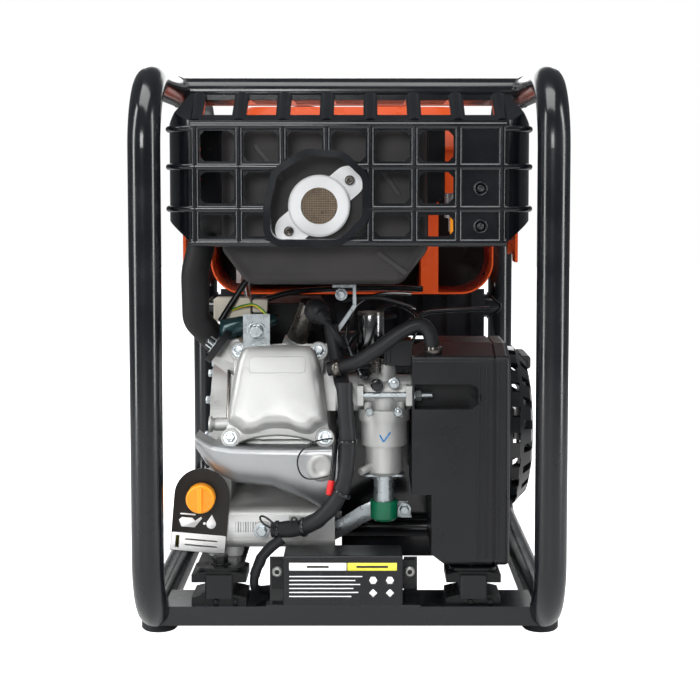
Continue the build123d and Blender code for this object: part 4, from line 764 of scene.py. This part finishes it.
wire("branch_tail", ((-97, -221, 68), (-99, -221, 58), (-98, -214, 48), (-90, -202, 43), (-72, -194, 44)),
     4.6, MATERIALS["rubber_black"])

# earth wire, connector block and other wiring behind the head
wire("earth_wire_yellow", ((-128, -128, 330), (-112, -134, 337), (-98, -138, 336), (-88, -140, 324)),
     1.5, EXTRA["yellow_wire"])
wire("earth_wire_green", ((-128, -130.4, 331), (-112, -136.4, 338), (-98, -140.4, 337), (-88, -142.4, 325)),
     0.7, EXTRA["green_wire"])
shape = bmesh.new()
prism(shape, (-128, -110, 330), RIGHT, UP, rounded(40, 26, 4), 16)
prism(shape, (-98, -112, 334), RIGHT, UP, rounded(16, 14, 2), 14)
from_bmesh("wire_connector", shape, EXTRA["cream_plastic"], bevel=1.0)
wire("stay_black", ((-140, -135, 318), (-128, -130, 338), (-112, -126, 362)), 3.4, MATERIALS["black_steel"])
wire("cable_over_top", ((-8, -168, 343), (14, -160, 347), (40, -150, 344), (66, -140, 334)), 2.2,
     MATERIALS["rubber_black"])
wire("choke_rod", ((66, -120, 318), (78, -118, 326), (100, -114, 328), (152, -112, 330)), 2.6,
     MATERIALS["gloss_black_plastic"])

CABLES = (
    ("cable_a", 2.4, ((-6, -140, 288), (6, -146, 306), (22, -140, 326), (46, -132, 338), (70, -120, 330))),
    ("cable_b", 1.8, ((-4, -150, 300), (-2, -150, 322), (8, -140, 340), (34, -128, 350), (66, -110, 346))),
    ("cable_c", 2.8, ((10, -132, 250), (6, -134, 276), (10, -130, 300), (26, -124, 318), (50, -118, 322))),
    ("cable_d", 3.2, ((-110, -102, 332), (-80, -96, 346), (-30, -94, 350), (30, -92, 352), (80, -90, 350))),
    ("cable_e", 1.6, ((60, -190, 290), (72, -184, 316), (70, -160, 332), (50, -130, 336))),
    ("panel_feed", 4.0, ((-112, -104, 338), (-120, -40, 352), (-126, 60, 356), (-120, 160, 358))))
for name, radius, points in CABLES:
    wire(name, points, radius, MATERIALS["gloss_black_plastic"])

wire("loom_top", ((-5, -222, 248), (-6, -219, 258), (-9, -200, 262), (-12, -187, 275), (-16, -180, 296),
                  (-20, -176, 318)), 7.6, MATERIALS["rubber_black"])

# pressed sheet that guides the cooling air over the fins
DEFLECTOR_Y, DEFLECTOR_TOP, SHEET = -89, 333, 1.2
shape = bmesh.new()
prism(shape, (0, DEFLECTOR_Y, 0), RIGHT, UP, ((-120, 276), (-14, 276), (-14, 320), (-28, DEFLECTOR_TOP),
                                              (-104, DEFLECTOR_TOP), (-120, 318)), SHEET)
prism(shape, (0, DEFLECTOR_Y, DEFLECTOR_TOP), RIGHT, (0, 1, 0.12),
      ((-104, 0), (-28, 0), (-34, 42), (-98, 42)), SHEET)
from_bmesh("air_deflector", shape, MATERIALS["black_steel"], smooth=False, bevel=0.4)

# heat shield behind the exhaust port
SHIELD_LEFT, SHIELD_WIDTH, SHIELD_BOW, SHIELD_STEPS = -138, 62, 10, 12
shape = bmesh.new()
rows = []
for k in range(SHIELD_STEPS + 1):
    t = k / SHIELD_STEPS
    x = SHIELD_LEFT + SHIELD_WIDTH * t
    bow = SHIELD_BOW * sin(pi * t)
    upper = 322 + 6 * t + bow * 0.3
    lower = 300 + 10 * t + 8 * t * t
    column = ((x, -158 - bow, upper), (x, -164 - bow, (upper + lower) / 2), (x, -160 - bow * 0.5, lower))
    rows.append([shape.verts.new(point) for point in column])
join_rows(shape, rows)
shield = from_bmesh("heat_shield", shape, EXTRA["teal_shield"])
thicken(shield, SHEET, -1)

# ------------------------------------------------------------------ carburettor details
MOTOR_FOOT = corners("choke_motor")[0].z
shape = bmesh.new()
lathe(shape, (22, -160, MOTOR_FOOT + 0.5), UP,
      ((13.6, 0), (14.2, 1), (14.2, 48), (13.4, 50.5), (11, 51.5), (10, 50.6)), 48)
from_bmesh("stepper_can", shape, EXTRA["chrome_can"])
shape = bmesh.new()
prism(shape, (50, -168, MOTOR_FOOT + 13), RIGHT, UP, rounded(30, 27, 2.5), 30)
prism(shape, (40, -196, MOTOR_FOOT + 13), RIGHT, UP, rounded(5, 24, 1.5), 4)
lathe(shape, (28, -206, 260), FRONT, ((6.5, 0), (6.5, 4), (5, 5.2), (3, 5.4)), 24)
from_bmesh("choke_box", shape, MATERIALS["gloss_black_plastic"], bevel=0.8)
shape = bmesh.new()
for x, z, radius in ((46, 262, 6), (20, 232, 4.2), (50, 232, 5)):
    lathe(shape, (x, -206, z), FRONT,
          ((radius, 0), (radius, 4), (radius * 0.8, 5), (radius * 0.3, 5.2)), 24)
    lathe(shape, (x, -211, z), FRONT,
          ((radius * 0.55, 0), (radius * 0.55, 1.8), (radius * 0.4, 2.2)), HEX)
prism(shape, (36, -180, 162.5), RIGHT, FRONT, rounded(44, 20, 5), 2)
from_bmesh("carburettor_fittings", shape, MATERIALS["zinc_steel"], bevel=0.2)
SPRING_FOOT, SPRING_R, SPRING_PITCH = Vector((28, -204, 271.5)), 4.2, 2.0
SPRING_TURNS, POINTS_PER_TURN = 8, 8
spring = []
for k in range(SPRING_TURNS * POINTS_PER_TURN):
    turns = k / POINTS_PER_TURN
    angle = tau * turns
    spring.append(SPRING_FOOT + Vector((SPRING_R * cos(angle), SPRING_R * sin(angle), SPRING_PITCH * turns)))
wire("idle_spring", spring, 0.7, MATERIALS["steel_dark"])
wire("bowl_tick", ((31, -204.6, 207), (35, -204.9, 200), (42, -204.3, 210)), 0.8, EXTRA["blue_paint"],
     order=2)
wire("throttle_link", ((12, -205, 269), (2, -196, 286), (-4, -176, 304)), 1.1, MATERIALS["zinc_steel"])

# zinc strap from the sump to the carburettor's foot
shape = bmesh.new()
STRAP_Y, STRAP_HALF, STRAP_THICK, STRAP_LEAN = -158, 9, 1.6, 0.25
sections = []
for x, z in ((-24, 92), (-8, 100), (12, 113), (30, 121), (46, 119), (64, 119)):
    section = ((-STRAP_HALF, 0), (-STRAP_HALF, STRAP_THICK), (STRAP_HALF, STRAP_THICK), (STRAP_HALF, 0))
    sections.append([shape.verts.new((x - STRAP_LEAN * dz, STRAP_Y - dy, z + dz)) for dz, dy in section])
join_rings(shape, sections)
shape.faces.new(sections[0][::-1])
shape.faces.new(sections[-1])
strap = from_bmesh("carburettor_strap", shape, MATERIALS["zinc_steel"])
strap_edge = strap.modifiers.new("edge", "BEVEL")
strap_edge.width = 0.3 * MM
strap_edge.segments = 2
shape = bmesh.new()
bolt(shape, (58, -160, 119), FRONT, 9)
from_bmesh("strap_nut", shape, MATERIALS["zinc_steel"], bevel=0.2)

# ------------------------------------------------------------------ air filter
case_low, case_high = corners("air_filter_case")
RIB_Y = case_low.y + 0.3
shape = bmesh.new()
for x in (case_high.x - 6, case_high.x + 1.5):
    prism(shape, (x, RIB_Y, (case_low.z + case_high.z) / 2 - 6), RIGHT, UP, rounded(1.6, 196, 0.7), 1.4)
prism(shape, (151, RIB_Y, 182), RIGHT, UP, rounded(2.2, 200, 1), 1.2)
from_bmesh("filter_ribs", shape, MATERIALS["black_plastic"], bevel=0.4)

# ------------------------------------------------------------------ mounts and base
MOUNTS_X, MOUNT_Y, MOUNT_TOP, MOUNT_FACE = (-134, 127), 205, 73, 227.8
shape = bmesh.new()
for x in MOUNTS_X:
    for side in (-1, 1):
        bolt(shape, (x, side * MOUNT_Y, MOUNT_TOP), UP, 13)
        for dx in (-3, 17):
            bolt(shape, (x + dx, side * MOUNT_FACE, 39.8), (0, side, 0), 4.5)
from_bmesh("mount_bolts", shape, MATERIALS["black_steel"], bevel=0.3)
shape = bmesh.new()
for x in (battery_low.x + 6, battery_high.x - 6):
    screw(shape, (x, -212.2, 66), FRONT, 5.6)
from_bmesh("battery_screws", shape, MATERIALS["cast_aluminium"])

# ------------------------------------------------------------------ control panel
FACE, PANEL_Z = 269.0, 392
LAMP_COUNT, LAMP_PITCH = 3, 12
SWITCH_U, TICK_R = 130, 24
METER_U, METER_V = -137, 18


def panel_print(name, outlines, material, proud=0.3):
    """Flat shapes on the panel's face, drawn as seen from outside."""
    shape = bmesh.new()
    for outline in outlines:
        prism(shape, (0, FACE, PANEL_Z), (-1, 0, 0), UP, outline, proud)
    return from_bmesh(name, shape, material)


panel_print("panel_outlet_field", [shifted(rounded(146, 84, 10), -22, 0)], MATERIALS["socket_grey"], 0.4)
panel_print("panel_lamps", [shifted(disc(3.2), 100 + LAMP_PITCH * k, -34) for k in range(LAMP_COUNT)],
            EXTRA["red_plastic"], 1.5)
tick_turns = [radians(degrees) for degrees in (-45, 0, 45)]
panel_print("panel_switch_ticks",
            [shifted(rounded(1.4, 6, 0.5), SWITCH_U + TICK_R * sin(a), TICK_R * cos(a)) for a in tick_turns],
            EXTRA["white_print"])
for name, outline, slot, proud in (("meter_bezel", rounded(48, 28, 4), "gloss_black_plastic", 2.2),
                                   ("meter_glass", rounded(38, 18, 2), "socket_grey", 2.7)):
    panel_print(name, [shifted(outline, METER_U, METER_V)], MATERIALS[slot], proud)
panel_print("meter_segments", [shifted(rounded(2, 9, 0.6), METER_U + 7 * k, METER_V) for k in range(-2, 3)],
            EXTRA["grey_print"], 2.9)
panel_print("outlet_marks", [shifted(rounded(18, 1.6, 0.6), u, 38) for u in (10, -55)],
            EXTRA["white_print"], 0.7)
shape = bmesh.new()
lathe(shape, (137, FACE, 370), BACK, ((14, 0), (14, 2), (13, 3), (11, 3.2), (10.4, 1.0)), 40)
lathe(shape, (115, FACE, 350), BACK, ((5, 0), (5, 1.4), (4.6, 1.8)), 24)
from_bmesh("dc_socket", shape, MATERIALS["gloss_black_plastic"])
shape = bmesh.new()
lathe(shape, (-163, FACE, 366), BACK, ((6.4, 0), (6.4, 1.2), (6, 1.6)), 28)
lathe(shape, (-163, FACE + 1.6, 366), BACK, ((5.2, 0), (5.2, 4.2), (4.6, 4.8)), HEX)
lathe(shape, (-163, FACE + 6.4, 366), BACK, ((2.6, 0), (2.6, 5), (2.0, 5.6)), 20)
from_bmesh("earth_terminal", shape, MATERIALS["brass_mesh"], bevel=0.2)

shape = bmesh.new()
for x, z in ((141.04, 342), (164, 442)):
    for side in (-1, 1):
        screw(shape, (side * x, FACE, z), BACK, 4.5)
from_bmesh("panel_screws", shape, MATERIALS["zinc_steel"])

# ------------------------------------------------------------------ tank
TANK_BOLT_X = 168.96
GAUGE_X, GAUGE_Y = -60, 130
shape = bmesh.new()
for x in (-TANK_BOLT_X, TANK_BOLT_X):
    for y in (24, 243):
        bolt(shape, (x, y, 508.5), UP, 9)
from_bmesh("tank_bolts", shape, MATERIALS["black_steel"], bevel=0.3)
shape = bmesh.new()
lathe(shape, (GAUGE_X, GAUGE_Y, 557.4), UP, ((17, 0), (17, 3), (15.5, 4.5), (13.5, 4.2), (13, 3.4)), 40)
from_bmesh("fuel_gauge_rim", shape, MATERIALS["gloss_black_plastic"])
shape = bmesh.new()
prism(shape, (GAUGE_X, GAUGE_Y, 560.8), RIGHT, BACK, disc(12.6, 40), 0.5)
from_bmesh("fuel_gauge_face", shape, EXTRA["white_print"])
shape = bmesh.new()
prism(shape, (GAUGE_X, GAUGE_Y, 561.3), RIGHT, BACK, [(-9, -2), (9, -1), (9, 1), (-9, 2)], 0.3)
from_bmesh("fuel_gauge_needle", shape, EXTRA["red_plastic"])
